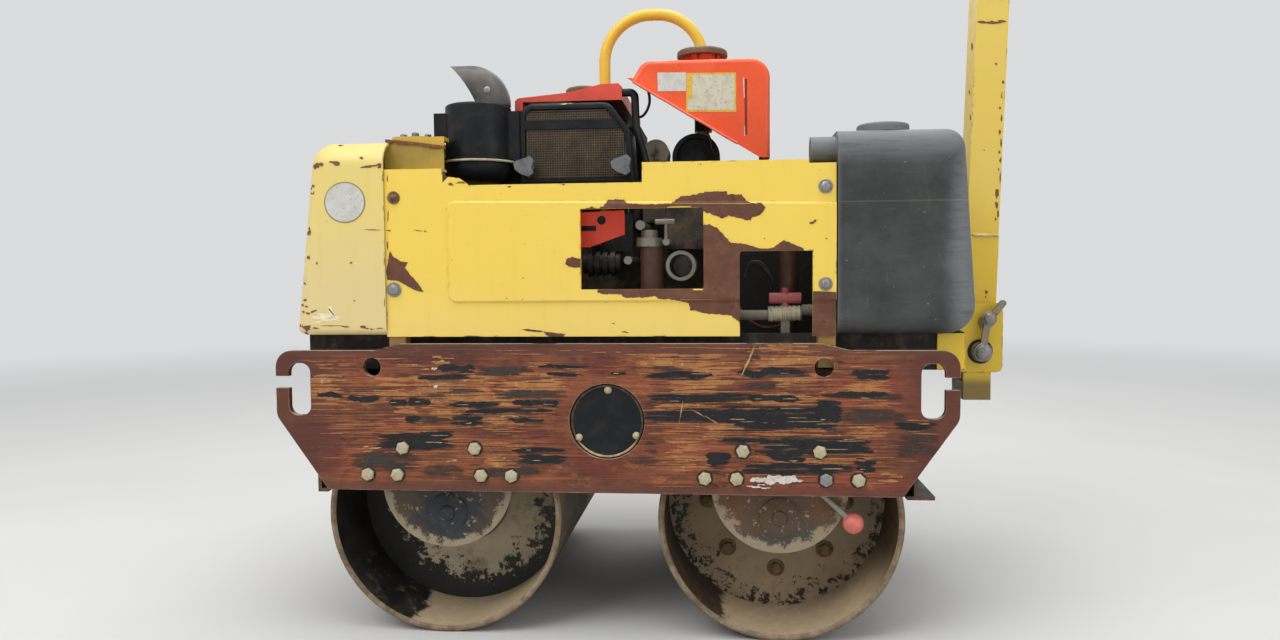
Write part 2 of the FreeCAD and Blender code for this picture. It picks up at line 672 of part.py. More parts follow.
def add_drum(name, x):
    """Shell, two discs and a flanged shaft of one drum."""
    shell = new_body()
    sketch = sketch_on(shell, "XZ", DRUM_END)
    draw_circle(sketch, 0, 0, DRUM_R)
    draw_circle(sketch, 0, 0, DRUM_R - S.shell_thick)
    pad(shell, sketch, S.drum_width)
    soften(shell, S.rim_bevel, lambda edge: edge.BoundBox.YLength < 1, "PartDesign::Chamfer")
    add_node(shell, "drum_%s_shell" % name, (x, 0, DRUM_R))

    discs = []
    for side, word in SIDES:
        low, high = span(side, DISC_FACE - S.disc_thick, DISC_FACE)
        disc = new_body()
        sketch = sketch_on(disc, "XZ", high)
        draw_circle(sketch, 0, 0, DRUM_R - S.shell_thick)
        draw_circle(sketch, 0, 0, S.shaft_dia / 2)
        pad(disc, sketch, S.disc_thick)
        holes = sketch_on(disc, "XZ", high)
        draw_circle(holes, 0, S.disc_bolt_circle / -2, S.disc_bolt_hole / 2)
        doc.recompute()
        first = pocket(disc, holes, S.disc_thick * 4)
        doc.recompute()
        pattern = disc.newObject("PartDesign::PolarPattern", fresh("ring"))
        pattern.Originals = [first]
        pattern.Axis = (plane_of(disc, "Y_Axis"), [""])
        pattern.Angle = 360
        pattern.Occurrences = int(S.disc_bolt_count.value)
        disc.Tip = pattern
        discs.append(disc)
    add_node(group(*discs), "drum_%s_discs" % name, (x, 0, DRUM_R))

    journal = CARRIER_OUT - S.carrier_thick
    core = rod(S.shaft_dia / 2, "Y", (0, -journal, 0), journal * 2)
    pieces = [core]
    for side, word in SIDES:
        low, high = span(side, DISC_FACE, DISC_FACE + S.shaft_flange_thick)
        pieces.append(rod(S.shaft_flange_dia / 2, "Y", (0, low, 0), S.shaft_flange_thick))
    add_node(fuse(*pieces), "drum_%s_shaft" % name, (x, 0, DRUM_R))


def add_side_plate(side, word):
    """Side plate with its end slots, tie holes and the opening for the round cover."""
    half = []
    for sign in (1, -1):
        half.append([
            (sign * S.plate_foot, S.plate_low),
            (sign * S.plate_half, S.plate_nose),
            (sign * S.plate_half, S.plate_shoulder),
            (sign * S.plate_step_out, S.plate_shoulder),
            (sign * S.plate_step_in, S.plate_top),
        ])
    outline = half[0] + half[1][::-1]
    low, high = span(side, PLATE_IN, PLATE_OUT)
    cutters = []
    for sign in (1, -1):
        inner = sign * (S.slot_mid - S.slot_width / 2)
        outer = sign * (S.slot_mid + S.slot_width / 2)
        beyond = sign * (S.plate_half + S.plate_thick)
        cutters.append([
            (inner, S.slot_low),
            (outer, S.slot_low),
            (outer, S.mouth_low),
            (beyond, S.mouth_low),
            (beyond, S.mouth_high),
            (outer, S.mouth_high),
            (outer, S.slot_high),
            (inner, S.slot_high),
        ])
    cutters.append((-S.tie_hole_front, S.tie_hole_height, S.tie_hole_dia / 2))
    cutters.append((S.tie_hole_rear, S.tie_hole_height, S.tie_hole_dia / 2))
    cutters.append((dim(0), S.cover_height, S.cover_dia / 2))
    body = prism("XZ", outline, low, high, cutters)

    def plate_corner(edge):
        if not along(edge, 1):
            return False
        for sign in (1, -1):
            if at_point(edge, x=sign * S.plate_half):
                if at_point(edge, z=S.plate_shoulder) or at_point(edge, z=S.plate_nose):
                    return True
        return False

    def slot_corner(edge):
        if not along(edge, 1):
            return False
        if not (at_point(edge, z=S.slot_low) or at_point(edge, z=S.slot_high)):
            return False
        return abs(edge.BoundBox.Center.x) < (S.slot_mid + S.slot_width).value

    soften(body, S.plate_corner, plate_corner)
    soften(body, S.slot_width * 0.42, slot_corner)
    add_node(body, "side_plate_" + word)


def add_covers():
    """Round black cover in each side plate."""
    covers = []
    for side, word in SIDES:
        outer = PLATE_OUT - S.cover_sink
        low, high = span(side, outer - S.cover_thick, outer)
        covers.append(rod(S.cover_dia / 2, "Y", (0, low, S.cover_height), S.cover_thick))
    add_node(group(*covers), "round_covers")


def add_cross_members():
    """Centre tube and two square beams between the side plates."""
    length = PLATE_IN * 2
    outer = rod(S.centre_tube_dia / 2, "Y", (0, -PLATE_IN, S.cover_height), length)
    bore_radius = S.centre_tube_dia / 2 - S.centre_tube_wall
    bore = rod(bore_radius, "Y", (0, -PLATE_OUT, S.cover_height), PLATE_OUT * 2)
    members = [cut(outer, bore)]
    half = S.beam_size / 2
    low = S.tray_low - S.beam_size
    for sign, word in ENDS:
        mid = sign * S.beam_mid
        solid = block((mid - half, mid + half), (-PLATE_IN, PLATE_IN), (low, S.tray_low))
        hollow_half = half - S.beam_wall
        hollow = block(
            (mid - hollow_half, mid + hollow_half),
            (-PLATE_OUT, PLATE_OUT),
            (low + S.beam_wall, S.tray_low - S.beam_wall),
        )
        members.append(cut(solid, hollow))
    add_node(group(*members), "cross_members")


def add_tray():
    """Frame tray that carries the engine, hood and water tank."""
    outer = block((-S.tray_front, S.tray_rear), (-TRAY_SIDE, TRAY_SIDE), (S.tray_low, S.tray_top))
    inner = block(
        (-S.tray_front + S.tray_wall, S.tray_rear - S.tray_wall),
        (-TRAY_SIDE + S.tray_wall, TRAY_SIDE - S.tray_wall),
        (TRAY_FLOOR, S.tray_top + S.tray_wall),
    )
    add_node(cut(outer, inner), "frame_tray")


def add_carriers():
    """Bearing carriers that hang from the side plates on rubber mounts."""
    boss_r = S.carrier_boss_dia / 2
    plate_in = CARRIER_OUT - S.carrier_thick
    boss_in = plate_in - S.carrier_boss_deep
    half_mount = S.mount_dia / 2
    waist = S.plate_low - S.carrier_waist
    for side, word in SIDES:
        carriers = []
        mounts = []
        plate_low, plate_high = span(side, plate_in, CARRIER_OUT)
        boss_low, boss_high = span(side, boss_in, CARRIER_OUT)
        bore_low, bore_high = span(side, boss_in - S.carrier_boss_deep, plate_in)
        mount_low, mount_high = span(side, CARRIER_OUT, PLATE_IN)
        for sign, end in ENDS:
            x = sign * AXLE
            half = [
                (boss_r, DRUM_R),
                (S.carrier_half_low, waist),
                (S.carrier_half_high, S.lower_bolt_z - half_mount),
                (S.carrier_half_high, S.lower_bolt_z + half_mount),
                (S.upper_bolt_x + half_mount, S.carrier_top),
            ]
            outline = [(x + reach, up) for reach, up in half] + [(x - reach, up) for reach, up in half[::-1]]
            plate = prism("XZ", outline, plate_low, plate_high)
            boss = rod(boss_r, "Y", (x, boss_low, DRUM_R), boss_high - boss_low)
            bore_radius = S.shaft_dia / 2 + S.running_gap
            bore = rod(bore_radius, "Y", (x, bore_low, DRUM_R), bore_high - bore_low)
            carriers.append(cut(fuse(plate, boss), bore))
            for across, up in (
                (S.upper_bolt_x, S.upper_bolt_z),
                (S.lower_bolt_x, S.lower_bolt_z),
                (S.outer_bolt_x, S.lower_bolt_z),
            ):
                for mirror in (1, -1):
                    place = (x + mirror * across, mount_low, up)
                    mounts.append(rod(half_mount, "Y", place, mount_high - mount_low))
        add_node(group(*carriers), "bearing_carriers_" + word)
        add_node(group(*mounts), "rubber_mounts_" + word)


def add_scrapers():
    """Scraper lip and web across the outer side of each drum, on two arms from the side plates."""
    lips = {"front": S.scraper_lip_front, "rear": S.scraper_lip_rear}
    tip_rise = S.scraper_height.value - DRUM_R.value
    tip_reach = math.sqrt((DRUM_R.value + S.scraper_gap.value) ** 2 - tip_rise ** 2)
    tip = AXLE + tip_reach
    web_in = S.scraper_web - S.scraper_thick / 2
    web_out = S.scraper_web + S.scraper_thick / 2
    lip_top = S.scraper_height + S.scraper_thick
    for sign, word in ENDS:
        lip_xs = (tip, tip + lips[word]) if sign > 0 else (-tip - lips[word], -tip)
        web_xs = (web_in, web_out) if sign > 0 else (-web_out, -web_in)
        across = (-DRUM_END, DRUM_END)
        pieces = [
            block(lip_xs, across, (S.scraper_height, lip_top)),
            block(web_xs, across, (S.scraper_height, S.scraper_web_top)),
        ]
        for side, side_word in SIDES:
            arm_ys = span(side, DRUM_END - S.scraper_thick, PLATE_IN)
            pieces.append(block(web_xs, arm_ys, (S.scraper_arm_low, S.scraper_arm_top)))
        add_node(fuse(*pieces), "scraper_" + word)


def hood_form(inset, rear):
    """Solid form of the hood, moved inward by a wall."""
    side = S.cowl_half - inset
    foot = S.tray_top + inset
    top = S.hood_top - inset
    body = prism("XZ", [
        (rear, foot),
        (rear, top),
        (-S.hood_high + inset, top),
        (-S.hood_low + inset, foot),
    ], -side, side)
    corner = -S.hood_high + inset
    soften(body, S.hood_round - inset, lambda edge: at_point(edge, x=corner, z=top))

    def shoulder(edge):
        middle = edge.BoundBox.Center
        at_side = near(abs(middle.y), side)
        return at_side and middle.x < rear.value - 1 and middle.z > foot.value + 1

    soften(body, S.hood_edge - inset, shoulder)

    def foot_edge(edge):
        box = edge.BoundBox
        return box.ZLength < 0.01 and near(box.Center.z, foot) and box.Center.x < rear.value - 1

    soften(body, S.hood_foot - inset, foot_edge)
    return body


def add_hood():
    """Front hood: folded and rounded sheet, open behind, with an inward lip on the tray."""
    outer = hood_form(dim(0), -S.hood_rear)
    inner = hood_form(S.hood_wall, -S.hood_rear + S.hood_wall)
    below = block(
        (-S.hood_low + S.hood_lip, -S.hood_rear + S.hood_wall),
        (-S.cowl_half + S.hood_lip, S.cowl_half - S.hood_lip),
        (S.tray_top - S.hood_wall, S.tray_top + S.hood_wall * 2),
    )
    add_node(cut(outer, inner, below), "front_hood")


def add_panels():
    """Side panels with folded edges and a raised field. Rust has opened two holes in the near one."""
    for side, word in SIDES:
        low, high = span(side, PANEL_IN, PANEL_OUT)
        outline = [
            (-S.hood_rear, S.panel_low),
            (S.panel_rear, S.panel_low),
            (S.panel_rear, S.panel_step_top),
            (S.panel_step, S.panel_step_top),
            (S.panel_step, S.panel_top),
            (S.panel_notch_rear, S.panel_top),
            (S.panel_notch_rear, S.panel_notch_top),
        ]
        if side < 0:
            outline += corners("tear")[::-1]
        else:
            outline.append((-S.panel_notch_front, S.panel_notch_top))
        outline += [(-S.panel_notch_front, S.panel_front_top), (-S.hood_rear, S.panel_front_top)]
        pieces = [prism("XZ", outline, low, high)]
        flange_ys = span(side, PANEL_IN - S.panel_flange, PANEL_OUT)
        for front, rear, top in (
            (-S.hood_rear, -S.panel_notch_front, S.panel_front_top),
            (S.panel_notch_rear, S.panel_step, S.panel_top),
            (S.panel_step, S.panel_rear, S.panel_step_top),
        ):
            pieces.append(block((front, rear), flange_ys, (top - S.panel_wall, top)))
        field_low, field_high = span(side, PANEL_IN + S.panel_wall / 2, PANEL_OUT + S.field_proud)
        field = prism("XZ", [
            (-S.field_front, S.field_low),
            (S.panel_rear, S.field_low),
            (S.panel_rear, S.field_top_rear),
            (-S.field_front, S.field_top_front),
        ], field_low, field_high)
        soften(field, S.field_corner, lambda edge: along(edge, 1) and at_point(edge, x=-S.field_front))
        face = side * (PANEL_OUT + S.field_proud)

        def face_rim(edge):
            box = edge.BoundBox
            return near(box.Center.y, face) and box.YLength < 0.01 and not near(box.XMin, S.panel_rear)

        soften(field, S.field_bevel, face_rim, "PartDesign::Chamfer")
        panel = fuse(field, *pieces)
        if side < 0:
            through = (-PANEL_OUT - S.panel_flange, -PANEL_IN + S.panel_wall)
            below = S.panel_low - S.panel_wall
            holes = [
                block((S.hole_front_x0, S.hole_front_x1), through, (S.hole_front_z0, S.hole_front_z1)),
                block((S.hole_rear_x0, S.hole_rear_x1), through, (below, S.hole_rear_z1)),
            ]
            panel = cut(panel, *holes)
        add_node(panel, "side_panel_" + word)


def add_posts():
    """Posts on the tray that the side panels are bolted to."""
    posts = []
    half = S.post_width / 2
    top = S.panel_step_top - S.panel_wall
    for side, word in SIDES:
        ys = span(side, TRAY_SIDE, PANEL_IN)
        for sign in (1, -1):
            mid = sign * S.post_mid
            posts.append(block((mid - half, mid + half), ys, (TRAY_FLOOR, top)))
    add_node(group(*posts), "panel_posts")


def add_water_tank():
    """Moulded rear water tank with rounded corners, its lid and its shoulder over the near panel."""
    body = prism("XZ", [
        (S.tank_front, S.tray_top),
        (S.tank_rear_low, S.tray_top),
        (S.tank_rear_high, S.tank_top),
        (S.tank_front, S.tank_top),
    ], -S.cowl_half, S.cowl_half)
    soften(body, S.tank_round, lambda edge: at_point(edge, x=S.tank_rear_high, z=S.tank_top))
    soften(body, S.tank_foot_round, lambda edge: at_point(edge, x=S.tank_rear_low, z=S.tray_top))

    def rim(edge):
        middle = edge.BoundBox.Center
        at_side = near(abs(middle.y), S.cowl_half)
        return at_side and middle.x > S.tank_front.value + 1 and middle.z > S.tray_top.value + 1

    soften(body, S.tank_edge, rim)
    add_node(body, "water_tank")
    lid_top = S.tank_top + S.lid_rise
    lid = puck(S.lid_x, S.lid_y, S.lid_dia / 2, S.tank_top, lid_top, high_round=S.lid_rise / 3)
    add_node(lid, "water_tank_lid")
    start = (S.tank_front - S.spout_long, S.spout_y, S.spout_z)
    add_node(group(rod(S.spout_dia / 2, "X", start, S.spout_long)), "water_tank_cap")


def add_engine():
    """Single-cylinder engine: crankcase, finned cylinder, red top plate and recoil housing."""
    fins = []
    fin_space = S.head_top.value - S.crankcase_top.value - 2 * S.fin_pitch.value
    for count in range(1 + int(fin_space / S.fin_pitch.value)):
        low = S.crankcase_top + (count + 1) * S.fin_pitch
        fins.append(block(
            (S.fin_x_low, S.fin_x_high), (S.fin_y_low, S.fin_y_high), (low, low + S.fin_thick)
        ))
    engine = fuse(slab("crankcase"), slab("side_case"), slab("barrel"), table_rod("port"), *fins)
    add_node(engine, "engine_block")
    cover = prism("XZ", corners("cover"), S.cover_near, S.cover_far)
    reach = S.cover_far - S.cover_near
    leg_hole = rod(S.bail_dia / 2 + S.fin_thick, "Z", (S.bail_front, 0, S.head_top - reach / 4), reach / 2)
    add_node(cut(cover, leg_hole), "engine_top_plate")
    housing = cut(table_rod("recoil"), table_rod("recoil_dish"))
    add_node(fuse(housing, table_rod("recoil_hub"), slab("recoil_foot")), "recoil_housing")
    add_node(fuse(slab("grey_casting"), table_rod("casting_lug")), "grey_casting")


def add_oil_tank():
    """Oil tank behind the hood, under a ledge whose near lip has rusted ragged."""
    ledge_near = S.oil_ledge_y_low
    lip = prism("XZ", corners("lip") + [
        (S.oil_ledge_x_high, S.oil_ledge_z_high),
        (S.oil_ledge_x_low, S.oil_ledge_z_high),
    ], ledge_near, ledge_near + S.hood_wall)
    notch_low = S.oil_ledge_z_low - S.cleaner_room
    notch_tall = S.oil_ledge_z_high + S.cleaner_room - notch_low
    notch = rod(S.band_dia / 2 + S.cleaner_room, "Z", (S.cleaner_x, S.cleaner_y, notch_low), notch_tall)
    add_node(cut(fuse(slab("oil_body"), slab("oil_ledge"), slab("oil_pad"), lip), notch), "oil_tank")


def add_muffler():
    """Muffler box with a screen set back in its rounded frame."""
    near_face, far_face = S.muffler_near, S.muffler_far
    box = prism("XZ", corners("muffler"), near_face, far_face)

    def top_corner(edge):
        return along(edge, 1) and edge.BoundBox.Center.z > S.muffler_z2.value + 1

    def near_rim(edge):
        return near(edge.BoundBox.Center.y, near_face) and edge.BoundBox.YLength < 0.01

    soften(box, S.muffler_round, top_corner)
    soften(box, S.screen_sink, near_rim)
    inset = S.muffler_frame
    window = prism("XZ", [
        (S.muffler_x0 + inset, S.muffler_z0 + inset),
        (S.muffler_x1 - inset, S.muffler_z1 + inset),
        (S.muffler_x2 - inset, S.muffler_z2),
        (S.muffler_x3 - inset / 2, S.muffler_z3 - inset),
        (S.muffler_x4 + inset, S.muffler_z4 - inset),
    ], near_face - S.screen_sink, near_face + S.screen_sink)
    soften(window, S.muffler_round - inset, top_corner)
    add_node(cut(box, window), "muffler_box")


def add_air_cleaner():
    """Air cleaner: dust bowl, clamp band and canister, with its bracket and its neck to the muffler box."""
    x, y = S.cleaner_x, S.cleaner_y
    band_top = S.cleaner_band + S.band_tall
    bowl = puck(x, y, S.bowl_dia / 2, S.cleaner_low, S.cleaner_band, low_round=S.bowl_round)
    band = puck(x, y, S.band_dia / 2, S.cleaner_band, band_top)
    canister = puck(x, y, S.cleaner_dia / 2, band_top, S.cleaner_top, high_round=S.scoop_wall * 2)
    add_node(fuse(bowl, band, canister, slab("cleaner_clip"), slab("cleaner_neck")), "air_cleaner")


def add_deflector():
    """Intake scoop: bent sheet tube whose mouth is cut on a slanting arc, with a small hole."""
    x, y, foot = S.scoop_x.value, S.cleaner_y.value, S.cleaner_top.value
    wall, outer = S.scoop_wall.value, S.scoop_dia.value / 2
    bend, reach = S.scoop_bend.value, S.scoop_reach.value
    pieces = []
    for radius, beyond in ((outer, 0.0), (outer - wall, wall)):
        rise = foot + S.scoop_foot.value + bend
        points = [V(x, y, foot - beyond), V(x, y, rise), V(x - bend - reach - beyond, y, rise)]
        feature = doc.addObject("Part::Feature", fresh("scoop"))
        feature.Shape = swept_rod(points, radius, bend)
        pieces.append(feature)
    across = S.cleaner_y - S.scoop_dia
    mouth = rod(S.scoop_mouth_dia / 2, "Y", (S.scoop_mouth_x, across, S.scoop_mouth_z), S.scoop_dia * 2)
    hole = rod(S.scoop_hole_dia / 2, "Y", (S.scoop_x, across, S.scoop_hole_z), S.scoop_dia)
    shell = cut(pieces[0], pieces[1])
    add_node(cut(shell, mouth, hole), "intake_deflector")


def add_side_fittings():
    """What shows through the rust holes: throttle bracket, boot, filler, fittings and water valve."""
    plate_ys = (S.throttle_arm_y_low - S.panel_wall, S.throttle_arm_y_low)
    openings = [corners("throttle_slot"), (S.eye_x, S.eye_z, S.eye_dia / 2)]
    plate = prism("XZ", corners("throttle"), *plate_ys, openings)
    add_node(fuse(plate, slab("throttle_arm")), "throttle_bracket")
    pipe = table_rod("bellows_pipe")
    rings = []
    for index in range(len(BELLOWS)):
        x, length, radius = (getattr(S, "ring%d_%s" % (index, column)) for column in Ring._fields)
        rings.append(rod(radius, "X", (x, S.bellows_pipe_y, S.bellows_pipe_z), length))
    hose = doc.addObject("Part::Feature", "hose")
    route = []
    for index in range(len(HOSE_ROUTE)):
        route.append(V(*(getattr(S, "hose_%s%d" % (axis, index)).value for axis in "xyz")))
    hose.Shape = swept_rod(route, S.hose_dia.value / 2, S.hose_bend.value)
    add_node(group(fuse(pipe, *rings), hose), "intake_bellows")
    add_node(group(table_rod("oil_filler"), table_rod("water_filter")), "engine_canisters")
    cap = fuse(table_rod("filler_skirt"), table_rod("filler_dome"))
    dipstick = fuse(table_rod("dip_tube"), table_rod("dip_boss"), table_rod("dip_handle"))
    open_pipe = cut(table_rod("stub_pipe"), table_rod("stub_bore"))
    add_node(group(cap, dipstick, open_pipe, table_rod("union"), table_rod("sender")), "engine_fittings")
    valve = fuse(table_rod("valve_pipe"), table_rod("valve_body"), table_rod("valve_nut"), slab("valve_foot"))
    handle = fuse(table_rod("valve_bar"), table_rod("valve_stem"))
    add_node(valve, "water_valve")
    add_node(handle, "valve_handle")


def add_fuel_tank():
    """Wedge-shaped fuel tank over the engine, on a clamp and a strap, with its filler and cap."""
    body = prism("XZ", corners("fuel"), S.fuel_near, S.fuel_far)
    soften(body, S.fuel_round, lambda edge: along(edge, 1) and at_point(edge, x=S.fuel_x2, z=S.fuel_z2))
    soften(body, S.fuel_nose, lambda edge: along(edge, 1) and at_point(edge, x=S.fuel_x1, z=S.fuel_z1))

    def side_edge(edge):
        middle = edge.BoundBox.Center
        at_side = near(middle.y, S.fuel_near) or near(middle.y, S.fuel_far)
        line = S.fuel_z0.value + (middle.x - S.fuel_x0.value) * SEAM_SLOPE
        return at_side and middle.z > max(line, S.fuel_z3.value) + 1

    soften(body, S.fuel_edge, side_edge)
    seam_ys = (S.fuel_near - S.seam_reach, S.fuel_far + S.seam_reach)
    seam = prism("XZ", [
        (S.fuel_x0, S.fuel_z0),
        (S.fuel_x0 - S.seam_thick * 2, S.fuel_z0),
        (S.fuel_x4 - S.seam_thick, S.fuel_z4),
        (S.fuel_x4, S.fuel_z4),
    ], *seam_ys)
    neck_low = S.fuel_z1 - S.fuel_nose
    neck = rod(S.filler_dia / 2, "Z", (S.filler_x, S.filler_y, neck_low), S.fuel_cap_low - neck_low)
    add_node(fuse(body, seam, neck), "fuel_tank")
    cap_top = S.fuel_cap_low + S.fuel_cap_tall
    cap_radius, rounding = S.fuel_cap_dia / 2, S.fuel_cap_tall / 2
    cap = puck(S.filler_x, S.filler_y, cap_radius, S.fuel_cap_low, cap_top, high_round=rounding)
    add_node(cap, "fuel_cap")
    half_height = (S.clamp_z_high - S.clamp_z_low) / 2
    eye = rod(S.bail_dia / 2 + S.ear_gap, "Z", (S.bail_rear, 0, S.clamp_z_low), half_height * 2)
    leg_radius = S.bail_dia / 2 + S.running_gap
    leg_space = rod(leg_radius, "Z", (S.bail_rear, 0, S.clamp_z_low - half_height), half_height * 4)
    clamp = cut(fuse(slab("clamp"), eye), leg_space)
    add_node(group(clamp, slab("strap")), "fuel_tank_brackets")


def swept_rod(points, radius, bend):
    """Round bar along straight runs joined by arcs of one bend radius."""
    path = bent_wire(points, bend)
    start = path.Edges[0]
    direction = start.tangentAt(start.FirstParameter)
    circle = Part.Circle(start.Vertexes[0].Point, direction, radius)
    profile = Part.Wire([circle.toShape()])
    return path.makePipeShell([profile], True, True)


def bent_wire(points, bend):
    """Wire of lines with an arc at each inner point."""
    edges = []
    last = points[0]
    for before, corner, after in zip(points, points[1:], points[2:]):
        back = (before - corner).normalize()
        ahead = (after - corner).normalize()
        half_angle = back.getAngle(ahead) / 2
        setback = bend / math.tan(half_angle)
        arc_start = corner + back * setback
        arc_end = corner + ahead * setback
        bisector = (back + ahead).normalize()
        middle = corner + bisector * (bend / math.sin(half_angle) - bend)
        edges.append(Part.LineSegment(last, arc_start).toShape())
        edges.append(Part.Arc(arc_start, middle, arc_end).toShape())
        last = arc_end
    edges.append(Part.LineSegment(last, points[-1]).toShape())
    return Part.Wire(edges)


def add_bail():
    """Lifting bail: round bar over the engine with its feet on the crankcase."""
    foot = S.crankcase_top.value
    top = S.bail_top.value
    front = S.bail_front.value
    rear = S.bail_rear.value
    points = [V(front, 0, foot), V(front, 0, top), V(rear, 0, top), V(rear, 0, foot)]
    feature = doc.addObject("Part::Feature", "bail")
    feature.Shape = swept_rod(points, S.bail_dia.value / 2, S.bail_bend.value)
    add_node(feature, "lifting_bail")


def add_bracket():
    """Rear bracket with two ears for the drawbar pivot and latch, and the latch pin with its handle."""
    inner = S.drawbar_breadth / 2 + S.ear_gap
    face = inner + S.ear_thick
    pieces = []
    for side, word in SIDES:
        ear = prism("XZ", corners("ear"), *span(side, inner, face))
        soften(ear, S.ear_corner, lambda edge: along(edge, 1) and at_point(edge, x=S.ear_x2, z=S.ear_z2))
        pieces.append(ear)
        foot_ys = span(side, inner, inner + S.foot_plate)
        pieces.append(block((S.foot_front, S.foot_rear), foot_ys, (S.foot_low, S.foot_high)))
    pieces.append(block((S.foot_front, S.foot_rear), (-inner, inner), (S.foot_low, S.foot_bar_top)))
    wing = face + S.bracket_wing
    back = block((S.tray_rear, S.tray_rear + S.ear_thick), (-wing, wing), (S.bracket_low, S.tray_top))
    bore_radius = S.pivot_dia / 2 + S.running_gap
    bores = rod(bore_radius, "Y", (S.drawbar_pivot_x, -face * 2, S.drawbar_pivot_z), face * 4)
    add_node(cut(fuse(back, *pieces), bores), "drawbar_bracket")
    reach = face + S.pin_reach
    start = (S.drawbar_pivot_x, -reach, S.drawbar_pivot_z)
    pivot = rod(S.pivot_dia / 2, "Y", start, reach * 2)
    head = rod(S.pin_head_dia / 2, "Y", start, S.pin_reach)
    add_node(fuse(pivot, head), "pivot_pin")
    latch_x = S.drawbar_pivot_x + S.latch_shift
    latch_z = S.drawbar_pivot_z + S.latch_rise
    latch = rod(S.latch_dia / 2, "Y", (latch_x, -face - S.latch_reach, latch_z), S.latch_reach)
    handle_near = -face - S.latch_reach - S.link_thick
    places = (
        (S.drawbar_pivot_x, S.drawbar_pivot_z),
        (latch_x, latch_z),
        (S.drawbar_pivot_x + S.link_shift, S.drawbar_pivot_z + S.link_rise),
    )
    handle = [rod(S.link_wide / 2, "Y", (x, handle_near, z), S.link_thick) for x, z in places]
    for (x, z), (next_x, next_z) in zip(places, places[1:]):
        length = math.hypot(next_x.value - x.value, next_z.value - z.value)
        off_x = S.link_wide / 2 * ((next_z.value - z.value) / length)
        off_z = S.link_wide / 2 * ((next_x.value - x.value) / length)
        outline = [(x - off_x, z + off_z), (x + off_x, z - off_z)]
        outline += [(next_x + off_x, next_z - off_z), (next_x - off_x, next_z + off_z)]
        handle.append(prism("XZ", outline, handle_near, handle_near + S.link_thick))
    add_node(fuse(latch, *handle), "latch_pin")


def place_on_drawbar(obj, label):
    """Set a piece that was made along the drawbar, from its pivot, onto the machine."""
    obj.Placement = FreeCAD.Placement(V(0, 0, 0), FreeCAD.Rotation(V(0, 1, 0), S.drawbar_lean.value))
    add_node(obj, label, (S.drawbar_pivot_x, 0, S.drawbar_pivot_z))


def add_drawbar():
    """Drawbar: solid foot on the pivot, box tube and handle hoop. Made with the pivot at its origin."""
    half_depth = S.knuckle_depth / 2
    half_breadth = S.drawbar_breadth / 2
    foot = block(
        (-half_depth, half_depth), (-half_breadth, half_breadth), (-S.knuckle_below, S.drawbar_start)
    )
    bore_radius = S.pivot_dia / 2 + S.running_gap
    hole = rod(bore_radius, "Y", (0, -half_breadth * 2, 0), half_breadth * 4)
    place_on_drawbar(cut(foot, hole), "drawbar_foot")
    half_depth = S.drawbar_depth / 2
    ys = (-half_breadth, half_breadth)
    tube = block((-half_depth, half_depth), ys, (S.drawbar_start, TUBE_END))
    inside = block(
        (-half_depth + S.drawbar_wall, half_depth - S.drawbar_wall),
        (-half_breadth + S.drawbar_wall, half_breadth - S.drawbar_wall),
        (S.drawbar_start - S.drawbar_wall, TUBE_END + S.drawbar_wall),
    )
    place_on_drawbar(cut(tube, inside), "drawbar_tube")
    head_half = S.control_head_half
    head = block((-half_depth, half_depth), (-head_half, head_half), (TUBE_END, HEAD_TOP))
    place_on_drawbar(group(head), "control_head")
    low = (TUBE_END.value + HEAD_TOP.value) / 2
    high = S.handle_reach.value
    half = S.handle_half.value
    start = head_half.value
    route = [(start, low), (half, low), (half, high), (-half, high), (-half, low), (-start, low)]
    feature = doc.addObject("Part::Feature", "hoop")
    points = [V(0, across, up) for across, up in route]
    feature.Shape = swept_rod(points, S.handle_dia.value / 2, S.handle_bend.value)
    place_on_drawbar(feature, "handle_hoop")
    stem_top = HEAD_TOP + S.travel_stem
    stem = rod(S.travel_dia / 2, "Z", (-S.travel_offset, 0, HEAD_TOP), S.travel_stem)
    bar_start = (-S.travel_offset, -S.travel_half, stem_top)
    bar = rod(S.travel_dia / 2, "Y", bar_start, S.travel_half * 2)
    place_on_drawbar(fuse(stem, bar), "travel_lever")


def add_release_lever():
    """Release lever with a red ball, on the near bearing carrier of the rear drum."""
    start_y = -CARRIER_OUT - S.release_stub
    pivot = rod(S.release_stub_dia / 2, "Y", (S.release_x, start_y, S.release_z), S.release_stub)
    out = -CARRIER_OUT.value - S.release_out.value
    start = V(S.release_x.value, out, S.release_z.value)
    ball_at = V(S.ball_x.value, out, S.ball_z.value)
    reach = ball_at - start
    arm = Part.makeCylinder(S.lever_dia.value / 2, reach.Length, start, reach)
    ball = Part.makeSphere(S.ball_dia.value / 2, ball_at)
    feature = doc.addObject("Part::Feature", "lever")
    feature.Shape = arm.fuse(ball)
    add_node(fuse(pivot, feature), "release_lever")


for sign, word in ENDS:
    add_drum(word, sign * AXLE)
for side, word in SIDES:
    add_side_plate(side, word)
add_covers()
add_cross_members()
add_tray()
add_carriers()
add_scrapers()
add_hood()
add_panels()
add_posts()
add_water_tank()
add_engine()
add_oil_tank()
add_muffler()
add_air_cleaner()
add_deflector()
add_side_fittings()
add_fuel_tank()
add_bail()
add_bracket()
add_drawbar()
add_release_lever()
doc.recompute()

for obj in doc.Objects:
    if "Invalid" in obj.State or "Error" in obj.State:
        raise RuntimeError("%s failed: %s" % (obj.Name, obj.State))
os.makedirs("parts", exist_ok=True)
total = FreeCAD.BoundBox()
for obj in nodes:
    shape = obj.Shape
    if shape.isNull() or not shape.isValid() or not shape.Solids:
        raise RuntimeError(obj.Label + " has no valid shape")
    total.add(shape.BoundBox)
    shape.exportStep("parts/%s.step" % obj.Label)
print(len(nodes), "sub-parts", total)
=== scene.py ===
import json
import math
import random

